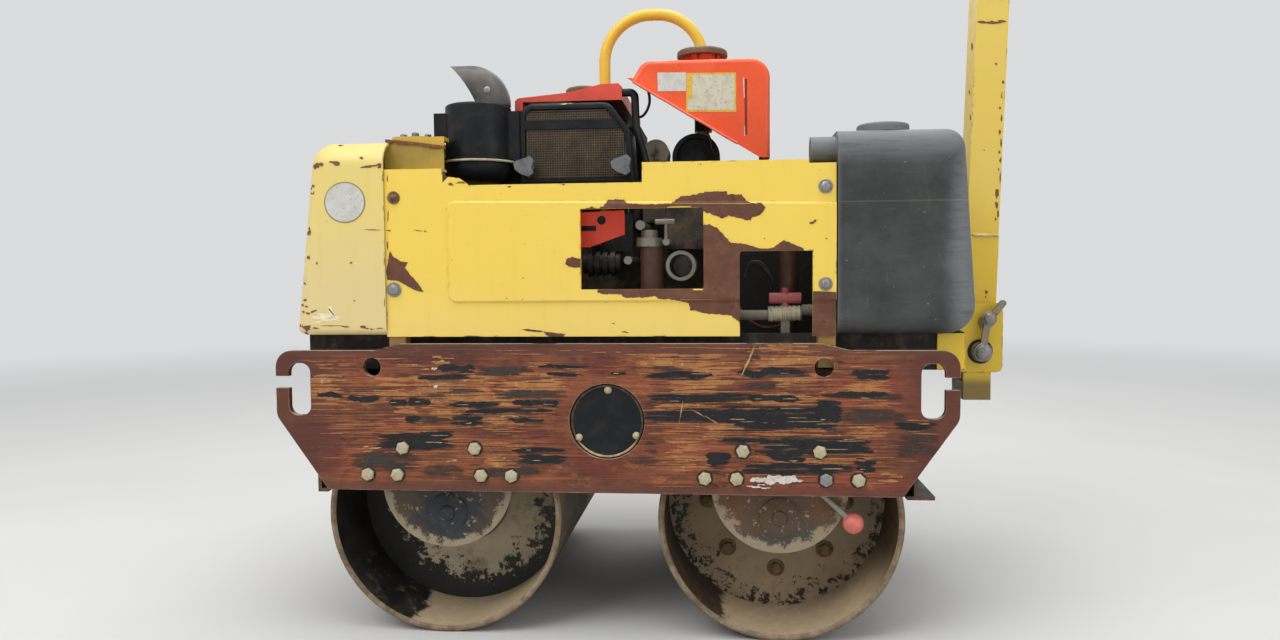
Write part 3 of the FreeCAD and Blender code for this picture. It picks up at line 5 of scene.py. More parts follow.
import bmesh
import bpy
from mathutils import Matrix, Vector, noise as noise_tools
from mathutils.bvhtree import BVHTree
from mathutils.geometry import delaunay_2d_cdt


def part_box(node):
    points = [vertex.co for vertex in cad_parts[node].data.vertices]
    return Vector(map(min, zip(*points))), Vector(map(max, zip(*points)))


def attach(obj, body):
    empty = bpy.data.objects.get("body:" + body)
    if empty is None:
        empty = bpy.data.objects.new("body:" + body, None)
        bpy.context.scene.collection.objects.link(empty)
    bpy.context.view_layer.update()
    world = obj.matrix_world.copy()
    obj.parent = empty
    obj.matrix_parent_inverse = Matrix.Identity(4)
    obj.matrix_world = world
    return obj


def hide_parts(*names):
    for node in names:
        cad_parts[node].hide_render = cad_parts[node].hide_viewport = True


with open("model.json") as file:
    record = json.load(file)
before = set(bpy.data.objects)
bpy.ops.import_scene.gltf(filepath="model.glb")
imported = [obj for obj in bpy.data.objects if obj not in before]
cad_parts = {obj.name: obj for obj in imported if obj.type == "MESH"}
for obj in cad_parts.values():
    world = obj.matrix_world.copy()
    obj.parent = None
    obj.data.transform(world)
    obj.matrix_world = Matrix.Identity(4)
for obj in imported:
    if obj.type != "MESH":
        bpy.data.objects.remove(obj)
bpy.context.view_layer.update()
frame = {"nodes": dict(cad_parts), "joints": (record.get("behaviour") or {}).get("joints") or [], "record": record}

# Looks of the walk-behind road roller. Metres, in the part's frame: +X to the drawbar, +Y to the far side, +Z up.

MM = 0.001
AXLES = {joint["name"]: joint["pos_m"] for joint in frame["joints"]}
FRONT_AXLE = AXLES["drum_front_spin"][0]
REAR_AXLE = AXLES["drum_rear_spin"][0]
DRUM_R = AXLES["drum_rear_spin"][2]
MIDDLE = (FRONT_AXLE + REAR_AXLE) / 2
PIVOT = Vector(AXLES["drawbar_fold"])
COVER_PLACE = (0.0, 365.0)
COVER_R = 58.0
FLANGE_Z = 254.0


def spot(x, y, z):
    """A place in millimetres from the middle of the wheelbase, in the part's frame."""
    return Vector((MIDDLE + x * MM, y * MM, z * MM))


def srgb(red, green, blue):
    """A colour as it shows on screen, 0 to 255, as Blender's linear colour."""
    linear = []
    for value in (red, green, blue):
        value = value / 255
        linear.append(value / 12.92 if value <= 0.04045 else ((value + 0.055) / 1.055) ** 2.4)
    return (*linear, 1.0)


# The photograph's viewpoint. Places in it are given in pixels of 1280 by 640.
EYE = spot(192.7, -1814.7, 606.8)
YAW, PITCH, ROLL = (math.radians(angle) for angle in (-5.328, -2.957, -0.453))
SENSOR = 36.0
LENS = 25.7625
PHOTO_WIDE, PHOTO_TALL = 1280, 640
NEAR, FAR = Vector((0.0, -1.0, 0.0)), Vector((0.0, 1.0, 0.0))


def view_axes():
    """The camera's right, up and forward directions."""
    ahead = Vector((math.sin(YAW) * math.cos(PITCH), math.cos(YAW) * math.cos(PITCH), math.sin(PITCH)))
    level = Vector((math.cos(YAW), -math.sin(YAW), 0.0))
    above = level.cross(ahead)
    right = math.cos(ROLL) * level + math.sin(ROLL) * above
    rise = math.cos(ROLL) * above - math.sin(ROLL) * level
    return right, rise, ahead


RIGHT, RISE, AHEAD = view_axes()
TREES = {}


def sight(px, py):
    """The direction from the eye through a place in the photograph."""
    reach = LENS / SENSOR * PHOTO_WIDE
    return (AHEAD + RIGHT * ((px - PHOTO_WIDE / 2) / reach) - RISE * ((py - PHOTO_TALL / 2) / reach)).normalized()


def on_plane(px, py, y):
    """Where that line of sight meets a plane across the machine, y in millimetres."""
    line = sight(px, py)
    return EYE + line * ((y * MM - EYE.y) / line.y)


def tree_of(name):
    """A search tree of a CAD node's surface."""
    if name not in TREES:
        data = frame["nodes"][name].data
        TREES[name] = BVHTree.FromPolygons([v.co for v in data.vertices], [face.vertices for face in data.polygons])
    return TREES[name]


def seen(name, px, py):
    """Where the line of sight meets a node, and the surface's direction there; beside a hole, its nearest edge."""
    tree = tree_of(name)
    place, normal, _, _ = tree.ray_cast(EYE, sight(px, py))
    if place is None:
        low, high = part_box(name)
        guess = on_plane(px, py, low.y / MM)
        place, normal, _, far = tree.find_nearest(guess)
        if far > 9 * MM:
            return None, None
        normal = NEAR
    return place, normal


def seat(name, x, z, side):
    """Where a line along Y from outside meets a node, x and z as spot() takes them, side -1 near or 1 far."""
    start = spot(x, side * 900, z)
    place, _, _, _ = tree_of(name).ray_cast(start, Vector((0.0, -side, 0.0)))
    return place


class Finish:
    """A node material, built up step by step. Its coordinates are the part's own, in metres."""

    def __init__(self, name):
        self.material = bpy.data.materials.new(name)
        self.material.use_nodes = True
        self.tree = self.material.node_tree
        self.tree.nodes.clear()
        self.place = self.node("ShaderNodeTexCoord").outputs["Object"]
        axes = self.node("ShaderNodeSeparateXYZ", {0: self.place}).outputs
        self.x, self.y, self.z = axes[0], axes[1], axes[2]
        geometry = self.node("ShaderNodeNewGeometry")
        self.normal = geometry.outputs["Normal"]
        self.shader = None
        self.bumps = []

    def node(self, kind, sockets=None, **settings):
        made = self.tree.nodes.new(kind)
        for name, value in settings.items():
            setattr(made, name, value)
        for name, value in (sockets or {}).items():
            self.feed(made.inputs[name], value)
        return made

    def feed(self, socket, value):
        if isinstance(value, bpy.types.NodeSocket):
            self.tree.links.new(value, socket)
        else:
            socket.default_value = value

    def math(self, operation, first, second=0.0, clamp=False):
        return self.node("ShaderNodeMath", {0: first, 1: second}, operation=operation, use_clamp=clamp).outputs[0]

    def ramp(self, value, start, end, low=0.0, high=1.0):
        """Value from start to end becomes low to high, smoothly and held at both ends."""
        made = self.node("ShaderNodeMapRange", {0: value, 1: start, 2: end, 3: low, 4: high})
        made.interpolation_type = "SMOOTHSTEP"
        return made.outputs[0]

    def mix(self, share, first, second):
        made = self.node("ShaderNodeMix", data_type="RGBA")
        self.feed(made.inputs[0], share)
        self.feed(made.inputs[6], first)
        self.feed(made.inputs[7], second)
        return made.outputs[2]

    def stretched(self, stretch, seed=0.0):
        """Coordinates scaled by axis and moved by a seed."""
        offset = (seed * 1.7, seed * 3.1, seed * 2.3)
        return self.node("ShaderNodeMapping", {0: self.place, 1: offset, 3: stretch}).outputs[0]

    def noise(self, scale, detail=4.0, rough=0.55, stretch=(1, 1, 1), seed=0.0, warp=0.0):
        sockets = {"Vector": self.stretched(stretch, seed), "Scale": scale, "Detail": detail}
        sockets.update({"Roughness": rough, "Distortion": warp})
        return self.node("ShaderNodeTexNoise", sockets).outputs[0]

    def cells(self, scale, stretch=(1, 1, 1), seed=0.0, feature="F1"):
        sockets = {"Vector": self.stretched(stretch, seed), "Scale": scale}
        return self.node("ShaderNodeTexVoronoi", sockets, feature=feature).outputs["Distance"]

    def up(self):
        """How far a face looks up, from -1 to 1."""
        return self.node("ShaderNodeSeparateXYZ", {0: self.normal}).outputs[2]

    def edge(self, width, low=0.02, high=0.25):
        """1 along sharp edges, 0 on flat ground."""
        soft = self.node("ShaderNodeBevel", {"Radius": width}, samples=4).outputs[0]
        level = self.node("ShaderNodeVectorMath", {0: soft, 1: self.normal}, operation="DOT_PRODUCT").outputs["Value"]
        return self.ramp(self.math("SUBTRACT", 1.0, level), low, high)

    def multiply(self, *values):
        result = values[0]
        for value in values[1:]:
            result = self.math("MULTIPLY", result, value)
        return result

    def most(self, *values):
        result = values[0]
        for value in values[1:]:
            result = self.math("MAXIMUM", result, value)
        return result

    def density(self, places, grow=1.0):
        """1 in the middle of places given as boxes of photograph pixels on the near plate, 0 beyond their borders."""
        nearest = None
        for left, right, top, low in places:
            first, last = on_plane(left, top, PLATE_Y), on_plane(right, low, PLATE_Y)
            half_x, half_z = (last.x - first.x) / 2 * grow, (first.z - last.z) / 2 * grow
            offset = (-(first.x + last.x) / 2 / half_x, 0.0, -(first.z + last.z) / 2 / half_z)
            local = self.node("ShaderNodeMapping", {0: self.place, 1: offset, 3: (1 / half_x, 0.0, 1 / half_z)}).outputs[0]
            away = self.node("ShaderNodeVectorMath", {0: local}, operation="LENGTH").outputs["Value"]
            nearest = away if nearest is None else self.math("MINIMUM", nearest, away)
        return self.ramp(nearest, 1.0, 0.0)

    def bump(self, height, depth):
        """Adds relief. Depth is in millimetres from a height of 0 to 1."""
        self.bumps.append((height, depth * MM))

    def done(self, colour, rough=0.5, metallic=0.0, coat=0.0, specular=0.5):
        shader = self.node("ShaderNodeBsdfPrincipled")
        self.feed(shader.inputs["Base Color"], colour)
        self.feed(shader.inputs["Roughness"], rough)
        self.feed(shader.inputs["Metallic"], metallic)
        shader.inputs["Coat Weight"].default_value = coat
        shader.inputs["Specular IOR Level"].default_value = specular
        normal = None
        for height, depth in self.bumps:
            made = self.node("ShaderNodeBump", {"Height": height, "Distance": depth})
            made.inputs["Strength"].default_value = 1.0
            if normal is not None:
                self.tree.links.new(normal, made.inputs["Normal"])
            normal = made.outputs[0]
        if normal is not None:
            self.tree.links.new(normal, shader.inputs["Normal"])
        output = self.node("ShaderNodeOutputMaterial")
        self.tree.links.new(shader.outputs[0], output.inputs[0])
        return self.material


RUST_DARK = srgb(74, 46, 36)
RUST_MID = srgb(112, 70, 48)
RUST_ORANGE = srgb(150, 88, 48)
DUST = srgb(170, 150, 120)
MUD = srgb(128, 110, 86)
GREASE = srgb(28, 29, 30)
BACKDROP = srgb(219, 220, 221)


def yellow_paint(name, base, low_tone, blend_low, blend_high, dirt=0.4, chips=0.5, soiled=None):
    """Yellow paint over rust: one tone low and another high, blended between two heights; dusty on top, chipped on its
    edges and soiled below a height.
    """
    paint = Finish(name)
    cloud = paint.noise(5.0, 3, 0.5)
    height_blend = paint.ramp(paint.z, blend_low, blend_high)
    height_blend = paint.math("ADD", height_blend, paint.math("MULTIPLY", paint.math("SUBTRACT", cloud, 0.5), 0.8), clamp=True)
    colour = paint.mix(height_blend, low_tone, base)
    if soiled:
        colour = paint.mix(paint.ramp(paint.z, soiled + 0.012, soiled - 0.012, 0.0, 0.85), colour, srgb(112, 92, 50))
    streak = paint.ramp(paint.noise(9.0, 4, 0.6, stretch=(6, 6, 0.7), seed=3), 0.52, 0.78)
    colour = paint.mix(paint.math("MULTIPLY", streak, 0.22 * dirt), colour, srgb(196, 160, 84))
    speck = paint.ramp(paint.noise(170.0, 2, 0.5, seed=5), 0.70, 0.76)
    speck = paint.multiply(speck, paint.ramp(paint.noise(14.0, 2, seed=8), 0.45, 0.65))
    colour = paint.mix(paint.math("MULTIPLY", speck, dirt), colour, srgb(120, 92, 52))
    scratch = paint.ramp(paint.noise(22.0, 3, 0.5, stretch=(1, 1, 26), seed=11), 0.70, 0.74)
    scratch = paint.multiply(scratch, paint.ramp(paint.noise(7.0, 2, seed=12), 0.5, 0.6))
    colour = paint.mix(paint.math("MULTIPLY", scratch, 0.55), colour, srgb(176, 132, 66))
    dust = paint.ramp(paint.up(), 0.35, 0.95)
    dust = paint.multiply(dust, paint.ramp(paint.noise(24.0, 5, 0.6, seed=2), 0.3, 0.75, 0.25, 0.8))
    colour = paint.mix(paint.math("MULTIPLY", dust, dirt), colour, srgb(196, 178, 132))
    torn = paint.ramp(paint.noise(75.0, 5, 0.65, seed=21), 0.60 - 0.1 * chips, 0.64 - 0.1 * chips)
    patchy = paint.ramp(paint.noise(11.0, 2, seed=22), 0.42, 0.62)
    rust = paint.multiply(paint.edge(5 * MM), torn, patchy)
    rust_colour = paint.mix(paint.noise(120.0, 4, 0.6), RUST_DARK, RUST_MID)
    colour = paint.mix(rust, colour, rust_colour)
    rough = paint.ramp(paint.noise(30.0, 4), 0.3, 0.75, 0.34, 0.52)
    rough = paint.most(rough, paint.math("MULTIPLY", rust, 0.85))
    paint.bump(paint.math("MULTIPLY", rust, -1.0), 0.5)
    paint.bump(paint.noise(420.0, 2), 0.05)
    paint.bump(cloud, 1.2)
    return paint.done(colour, rough)


def mottled(name, base, second, third=None, scale=60.0, rough=0.6, metallic=0.0, relief=0.15, specular=0.4, split=0.55):
    """Two colours in clouds, specks of a third, and fine relief."""
    paint = Finish(name)
    cloud = paint.noise(scale, 5, 0.65, seed=2)
    colour = paint.mix(paint.ramp(cloud, split - 0.16, split + 0.16), base, second)
    if third:
        speck = paint.ramp(paint.noise(scale * 3.1, 4, 0.6, seed=5), 0.60, 0.66)
        colour = paint.mix(paint.math("MULTIPLY", speck, 0.8), colour, third)
    paint.bump(paint.noise(scale * 4.0, 3), relief)
    paint.bump(cloud, relief * 2)
    return paint.done(colour, paint.ramp(cloud, 0.3, 0.7, rough - 0.08, rough + 0.1), metallic, specular=specular)


def cover_rim():
    """Rim of the round cover: painted shade along its upper side and a painted highlight along its lower side, where
    the hole's lower wall catches the light.
    """
    rim = Finish("cover_rim")
    rise = rim.math("SUBTRACT", rim.z, COVER_PLACE[1] * MM)
    low = rim.ramp(rise, -0.020, -0.050)
    grain = rim.noise(70.0, 5, 0.7)
    # dull is painted shade on the upper side; bright is a painted highlight on the lower side
    dull = rim.mix(rim.ramp(grain, 0.4, 0.65), srgb(62, 50, 42), srgb(104, 84, 64))
    bright = rim.mix(rim.ramp(grain, 0.4, 0.65), srgb(196, 174, 134), srgb(150, 122, 88))
    colour = rim.mix(low, dull, bright)
    rim.bump(grain, 0.3)
    return rim.done(colour, 0.6, 0.2)


# Where the near plate is scraped to black, as (left, right, top, low, how solid) in photograph pixels
BLACK_PLACES = (
    (317, 342, 393, 397.4, 0.8), (348, 378, 395, 401, 1.0), (387, 408, 399, 404.6, 1.0), (408, 431, 398.6, 405, 0.9),
    (445, 500, 402.5, 407.5, 0.9), (508, 563, 399, 405, 0.8), (465, 553, 408.4, 412.2, 0.9), (418, 468, 375, 379.6, 0.9),
    (438, 475, 365.6, 372, 0.9), (477, 533, 367.6, 375, 0.6), (535, 588, 364.6, 368.4, 0.7), (547, 581, 372.4, 376, 0.8),
    (417, 446, 393.6, 397.4, 0.6), (450, 486, 388.8, 392, 0.6), (495, 566, 391, 397.4, 0.5), (405, 421, 417.4, 423, 0.8),
    (420, 452, 417, 422, 0.5), (452, 483, 416, 425, 0.8), (507, 544, 418, 422, 0.8), (420, 453, 431.8, 435, 0.7),
    (375, 454, 434.8, 448.8, 1.0), (511, 566, 448.6, 452, 0.9), (517, 568, 454.6, 463, 1.0), (352, 421, 454.8, 468, 0.5),
    (425, 463, 466.8, 476, 0.6), (485, 543, 467, 475, 0.5), (340, 356, 438.6, 445, 0.5), (355, 391, 452, 457.4, 0.5),
    (610, 628, 371.8, 374.6, 0.7), (642, 713, 372, 378, 0.9), (650, 686, 365.8, 369, 0.6), (670, 691, 353.6, 356.4, 0.6),
    (749, 763, 348, 359, 0.6), (737, 811, 369.4, 376, 0.8), (736, 783, 384, 389, 0.6), (850, 891, 371, 379, 0.8),
    (832, 846, 359.4, 362.6, 0.6), (647, 751, 394, 401.6, 1.0), (745, 803, 395, 401.4, 0.7), (822, 889, 392.6, 398, 0.7),
    (642, 753, 411, 421, 0.8), (718, 842, 408.6, 427.4, 1.0), (815, 842, 401, 421, 0.9), (840, 904, 411, 422.6, 0.5),
    (895, 937, 422.4, 430, 0.9), (715, 773, 438, 442.6, 0.7), (758, 873, 439.8, 453.8, 1.0), (765, 806, 452.4, 460.4, 0.9),
    (706, 731, 453.6, 465.4, 1.0), (709, 726, 465, 475.6, 0.6), (741, 853, 463.6, 472.6, 0.9), (855, 876, 461, 471.4, 0.8),
    (887, 937, 436, 442.6, 0.5), (896, 939, 445, 455.4, 0.5), (825, 846, 428.6, 434, 0.5), (647, 663, 441, 445, 0.6),
    (641, 661, 450, 454, 0.6), (625, 661, 456, 462, 0.4), (710, 728, 481, 487, 0.5), (875, 905, 394, 400, 0.4),
)
# Where bare ochre shows between
OCHRE_PLACES = (
    (375, 411, 376, 396), (409, 496, 377, 400), (480, 526, 410, 426), (484, 521, 454, 466), (304, 346, 372, 400),
    (430, 452, 356, 366), (500, 570, 376, 390), (430, 470, 404, 414), (395, 420, 408, 418), (470, 560, 392, 404),
    (635, 726, 356, 366), (668, 716, 381, 393), (666, 708, 440, 468), (749, 811, 347, 366), (769, 818, 375, 386),
    (879, 901, 473, 486), (785, 836, 352, 362), (740, 786, 402, 411), (764, 786, 448, 455), (854, 874, 454, 461),
    (840, 890, 380, 392), (655, 700, 402, 412), (700, 740, 424, 438), (850, 888, 428, 438), (690, 740, 368, 384),
)
PRIMER_PLACES = (
    (284, 348, 412, 486), (452, 572, 424, 444), (560, 640, 436, 486), (606, 660, 404, 452), (276, 310, 352, 372),
    (520, 580, 344, 356), (380, 460, 344, 354), (740, 890, 428, 438), (900, 952, 350, 400), (380, 404, 404, 430),
    (575, 625, 345, 380), (905, 940, 440, 480),
)
PLATE_Y = -345.0


def plate_rust():
    """Side plate: red-brown primer and rust, scraped to ochre and to black in long ragged streaks."""
    rust = Finish("plate_rust")
    # maroon primer, brown and tan in broad clouds
    broad = rust.noise(9.0, 4, 0.6, stretch=(0.6, 1, 1.6), seed=1)
    colour = rust.mix(rust.ramp(broad, 0.36, 0.64), srgb(88, 46, 36), srgb(138, 78, 48))
    reddish = rust.ramp(rust.noise(7.0, 4, 0.6, stretch=(0.7, 1, 1.8), seed=17), 0.46, 0.62, 0.0, 0.7)
    colour = rust.mix(reddish, colour, srgb(142, 66, 46))
    mottle = rust.noise(34.0, 6, 0.72, stretch=(0.6, 1, 1.4), seed=2)
    colour = rust.mix(rust.ramp(mottle, 0.46, 0.66, 0.0, 0.72), colour, srgb(78, 44, 36))
    lines = rust.noise(26.0, 6, 0.74, stretch=(0.16, 1, 7.5), seed=4)
    inner = rust.ramp(rust.math("ABSOLUTE", rust.math("SUBTRACT", rust.x, MIDDLE)), 0.54, 0.44)
    brighter = rust.multiply(rust.ramp(lines, 0.48, 0.62), rust.ramp(rust.noise(5.0, 3, seed=6), 0.34, 0.60), inner)
    colour = rust.mix(rust.math("MULTIPLY", brighter, 0.42), colour, srgb(170, 104, 60))
    primer = rust.density(PRIMER_PLACES, 1.15)
    whole = rust.ramp(rust.math("ADD", primer, rust.math("MULTIPLY", rust.math("SUBTRACT", broad, 0.5), 1.4)), 0.12, 0.55)
    red = rust.mix(rust.ramp(mottle, 0.4, 0.65), srgb(96, 43, 34), srgb(118, 56, 42))
    colour = rust.mix(rust.math("MULTIPLY", whole, 0.85), colour, red)
    # thin dark lines between the big streaks
    fine = rust.noise(30.0, 6, 0.7, stretch=(0.16, 1, 13), seed=9)
    fine = rust.multiply(rust.ramp(fine, 0.56, 0.63), rust.ramp(rust.noise(6.0, 2, seed=19), 0.36, 0.56), inner)
    colour = rust.mix(rust.math("MULTIPLY", fine, 0.62), colour, srgb(66, 44, 36))
    grain = rust.noise(26.0, 5, 0.7, stretch=(0.22, 1, 16), seed=14)
    colour = rust.mix(rust.ramp(grain, 0.54, 0.68, 0.0, 0.34), colour, srgb(176, 118, 76))
    blotch = rust.noise(46.0, 7, 0.78, stretch=(0.5, 1, 1), seed=23)
    colour = rust.mix(rust.ramp(blotch, 0.54, 0.64, 0.0, 0.5), colour, srgb(168, 106, 66))
    colour = rust.mix(rust.ramp(rust.noise(150.0, 4, 0.7, stretch=(0.4, 1, 1), seed=24), 0.56, 0.66, 0.0, 0.45), colour, srgb(66, 40, 34))
    # duller and browner towards both ends
    outer = rust.ramp(rust.math("ABSOLUTE", rust.math("SUBTRACT", rust.x, MIDDLE)), 0.42, 0.52, 0.0, 0.8)
    colour = rust.mix(outer, colour, rust.mix(mottle, srgb(70, 40, 32), srgb(98, 58, 46)))
    # smooth brown bands along both long edges
    top_band = rust.ramp(rust.math("ADD", rust.z, rust.math("MULTIPLY", broad, 0.014)), 0.474, 0.486)
    low_band = rust.ramp(rust.math("SUBTRACT", rust.z, rust.math("MULTIPLY", broad, 0.010)), 0.262, 0.250)
    band = rust.most(top_band, low_band)
    colour = rust.mix(rust.math("MULTIPLY", band, 0.7), colour, srgb(92, 58, 46))
    # pale along worn edges and on upward faces: partly edge wear, partly a painted highlight along the plate's top edge
    worn = rust.multiply(rust.edge(2.5 * MM), rust.ramp(rust.noise(40.0, 3), 0.35, 0.55))
    colour = rust.mix(rust.math("MULTIPLY", worn, 0.7), colour, srgb(176, 158, 140))
    colour = rust.mix(rust.ramp(rust.up(), 0.5, 0.9, 0.0, 0.7), colour, srgb(190, 172, 152))
    rust.bump(lines, 0.25)
    rust.bump(mottle, 0.5)
    rough = rust.ramp(mottle, 0.3, 0.7, 0.55, 0.8)
    return rust.done(colour, rough, specular=0.35)


def worn_paint(name, base, dust=0.5, rust=0.3, rough=0.45, grease=0.0, metallic=0.0, tint=None, specular=0.4,
               under=0.0):
    """Plain painted or cast surface with dust on top, rust on its edges, patches of oily dirt, and painted shade on
    faces that look down.
    """
    paint = Finish(name)
    cloud = paint.noise(16.0, 5, 0.6)
    colour = paint.mix(paint.ramp(cloud, 0.35, 0.7, 0.0, 0.5), base, tint or tuple(0.6 * c for c in base[:3]) + (1.0,))
    if grease:
        oily = paint.ramp(paint.noise(22.0, 5, 0.65, seed=31), 0.62 - 0.2 * grease, 0.72 - 0.2 * grease)
        colour = paint.mix(paint.math("MULTIPLY", oily, 0.85), colour, GREASE)
    settle = paint.ramp(paint.up(), 0.2, 0.9)
    powder = paint.ramp(paint.noise(38.0, 5, 0.65, seed=33), 0.35, 0.7)
    settle = paint.math("ADD", settle, paint.math("MULTIPLY", powder, 0.35), clamp=True)
    settle = paint.multiply(settle, powder)
    colour = paint.mix(paint.math("MULTIPLY", settle, dust), colour, DUST)
    # painted shade: faces that look down darken by the share under
    colour = paint.mix(paint.ramp(paint.up(), -0.35, -0.85, 0.0, under), colour, srgb(44, 32, 28))
    chips = paint.multiply(
        paint.edge(3 * MM), paint.ramp(paint.noise(90.0, 5, 0.65, seed=35), 0.66 - 0.25 * rust, 0.70 - 0.25 * rust))
    spread = paint.ramp(paint.noise(34.0, 6, 0.7, seed=36), 0.72 - 0.25 * rust, 0.78 - 0.25 * rust)
    rusty = paint.most(chips, paint.math("MULTIPLY", spread, min(1.0, rust * 1.5)))
    colour = paint.mix(rusty, colour, paint.mix(paint.noise(140.0), RUST_DARK, RUST_ORANGE))
    paint.bump(paint.noise(240.0, 3), 0.12)
    paint.bump(rusty, -0.2)
    level = paint.ramp(paint.noise(28.0, 4), 0.3, 0.7, rough - 0.1, rough + 0.15)
    level = paint.most(level, paint.math("MULTIPLY", paint.most(rusty, settle), 0.8))
    return paint.done(colour, level, metallic, specular=specular)


def grey_tank():
    """Scuffed grey moulded plastic with a faint seam; its top, edges, rear end and upper band are painted paler as
    highlights.
    """
    plastic = Finish("grey_tank")
    cloud = plastic.noise(9.0, 5, 0.62)
    colour = plastic.mix(plastic.ramp(cloud, 0.3, 0.7), srgb(50, 51, 51), srgb(72, 73, 73))
    scuff = plastic.noise(26.0, 6, 0.7, stretch=(0.5, 1, 5), seed=3)
    colour = plastic.mix(plastic.ramp(scuff, 0.55, 0.8, 0.0, 0.45), colour, srgb(100, 100, 98))
    # painted highlight: faces that look up turn paler
    top = plastic.ramp(plastic.up(), 0.25, 0.95)
    top = plastic.multiply(top, plastic.ramp(plastic.noise(30.0, 5, 0.6, seed=5), 0.2, 0.6, 0.5, 0.9))
    colour = plastic.mix(top, colour, srgb(150, 150, 148))
    # painted highlight along the edges
    edge = plastic.edge(12 * MM, 0.01, 0.2)
    colour = plastic.mix(plastic.math("MULTIPLY", edge, 0.45), colour, srgb(134, 134, 132))
    # painted highlight on the rear end and the upper band, broken by scuffs
    worn = plastic.math("ADD", plastic.x, plastic.math("MULTIPLY", cloud, 0.03))
    worn = plastic.most(plastic.ramp(worn, 0.458, 0.496), plastic.ramp(plastic.z, 0.768, 0.812))
    colour = plastic.mix(plastic.multiply(worn, plastic.ramp(scuff, 0.25, 0.55, 0.4, 0.85)), colour, srgb(118, 121, 122))
    seam_far = plastic.math("ABSOLUTE", plastic.math("SUBTRACT", plastic.z, 0.716))
    seam = plastic.ramp(seam_far, 2.2 * MM, 0.8 * MM)
    colour = plastic.mix(plastic.math("MULTIPLY", seam, 0.12), colour, srgb(150, 138, 110))
    brown = plastic.ramp(plastic.noise(12.0, 4, 0.7, stretch=(3, 3, 0.6), seed=9), 0.60, 0.75)
    colour = plastic.mix(plastic.math("MULTIPLY", brown, 0.35), colour, srgb(112, 98, 78))
    nick = plastic.ramp(plastic.noise(150.0, 3, seed=12), 0.70, 0.74)
    colour = plastic.mix(plastic.math("MULTIPLY", nick, 0.5), colour, srgb(150, 148, 142))
    plastic.bump(plastic.noise(520.0, 2), 0.12)
    plastic.bump(cloud, 2.5)
    plastic.bump(seam, 0.5)
    return plastic.done(colour, plastic.ramp(scuff, 0.3, 0.7, 0.55, 0.75), specular=0.28)


def about_axle(finish, centre_x):
    """Across, rise and radius from a drum's axis."""
    across = finish.math("SUBTRACT", finish.x, centre_x)
    rise = finish.math("SUBTRACT", finish.z, DRUM_R)
    square = finish.math("ADD", finish.multiply(across, across), finish.multiply(rise, rise))
    return across, rise, finish.math("SQRT", square)


def drum_steel(name, centre_x, dark, darker, mud_top):
    """Drum shell: dusty bare steel outside, pale rims, dark paint inside under dried mud that lies low and behind; the
    mud higher up the inner wall is painted darker as shade.
    """
    steel = Finish(name)
    across, rise, radius = about_axle(steel, centre_x)
    grain = steel.noise(20.0, 6, 0.68, stretch=(1, 0.5, 1), seed=1)
    outside = steel.mix(steel.ramp(grain, 0.35, 0.7), srgb(86, 70, 54), srgb(142, 122, 94))
    rings = steel.noise(30.0, 4, 0.6, stretch=(0.3, 8, 0.3), seed=2)
    outside = steel.mix(steel.ramp(rings, 0.52, 0.72, 0.0, 0.55), outside, srgb(118, 110, 98))
    paint = steel.mix(steel.ramp(grain, 0.4, 0.75), dark, darker)
    ragged = steel.math("MULTIPLY", steel.math("SUBTRACT", steel.noise(26.0, 6, 0.7, seed=5), 0.5), 0.12)
    fall = steel.math("SUBTRACT", rise, steel.math("MULTIPLY", across, 0.9))
    mud_line = steel.ramp(steel.math("ADD", fall, ragged), mud_top + 0.010, mud_top - 0.010)
    dusty = steel.ramp(steel.noise(46.0, 6, 0.72, seed=6), 0.54, 0.72, 0.0, 0.28)
    mud = steel.mix(steel.noise(70.0, 5), srgb(162, 142, 112), srgb(194, 174, 142))
    # painted shade: the mud darkens higher up the inner wall
    mud = steel.mix(steel.ramp(rise, -0.150, -0.040), mud, srgb(76, 60, 44))
    inside = steel.mix(steel.most(mud_line, dusty), paint, mud)
    is_outer = steel.ramp(radius, DRUM_R - 6 * MM, DRUM_R - 4 * MM)
    colour = steel.mix(is_outer, inside, outside)
    rim = steel.ramp(steel.math("ABSOLUTE", steel.y), 0.3205, 0.3225)
    rim_colour = steel.mix(steel.ramp(steel.noise(34.0, 6, 0.75, seed=8), 0.35, 0.7), srgb(104, 86, 68), srgb(156, 138, 114))
    colour = steel.mix(steel.math("MULTIPLY", rim, 0.9), colour, rim_colour)
    steel.bump(grain, 0.6)
    steel.bump(mud_line, 0.8)
    rough = steel.ramp(grain, 0.3, 0.7, 0.5, 0.85)
    return steel.done(colour, rough, specular=0.25)


def drum_disc(name, centre_x, light, dull, ring_from, ring_to, lean, share):
    """Drum disc: dried mud over black paint, which shows in a ragged ring near the drum's wall."""
    disc = Finish(name)
    across, rise, radius = about_axle(disc, centre_x)
    grain = disc.noise(24.0, 5, 0.6)
    mud = disc.mix(grain, dull, light)
    stain = disc.ramp(disc.noise(15.0, 5, 0.7, seed=3), 0.52, 0.68)
    mud = disc.mix(disc.math("MULTIPLY", stain, 0.45), mud, srgb(106, 84, 60))
    reach = disc.math("SUBTRACT", radius, disc.math("MULTIPLY", across, lean))
    flake = disc.math("MULTIPLY", disc.math("SUBTRACT", disc.noise(52.0, 7, 0.78, seed=7), 0.5), 0.24)
    ring = disc.ramp(disc.math("ADD", reach, flake), ring_from, ring_to)
    spots = disc.ramp(disc.noise(70.0, 5, 0.7, seed=9), 1.0 - share, 1.03 - share)
    ring = disc.math("MULTIPLY", ring, spots)
    bare = disc.ramp(ring, 0.42, 0.58)
    colour = disc.mix(bare, mud, disc.mix(grain, srgb(24, 25, 28), srgb(56, 53, 49)))
    disc.bump(disc.math("SUBTRACT", 1.0, bare), 0.9)
    disc.bump(disc.noise(160.0, 4), 0.3)
    return disc.done(colour, disc.ramp(bare, 0, 1, 0.85, 0.5), specular=0.35)


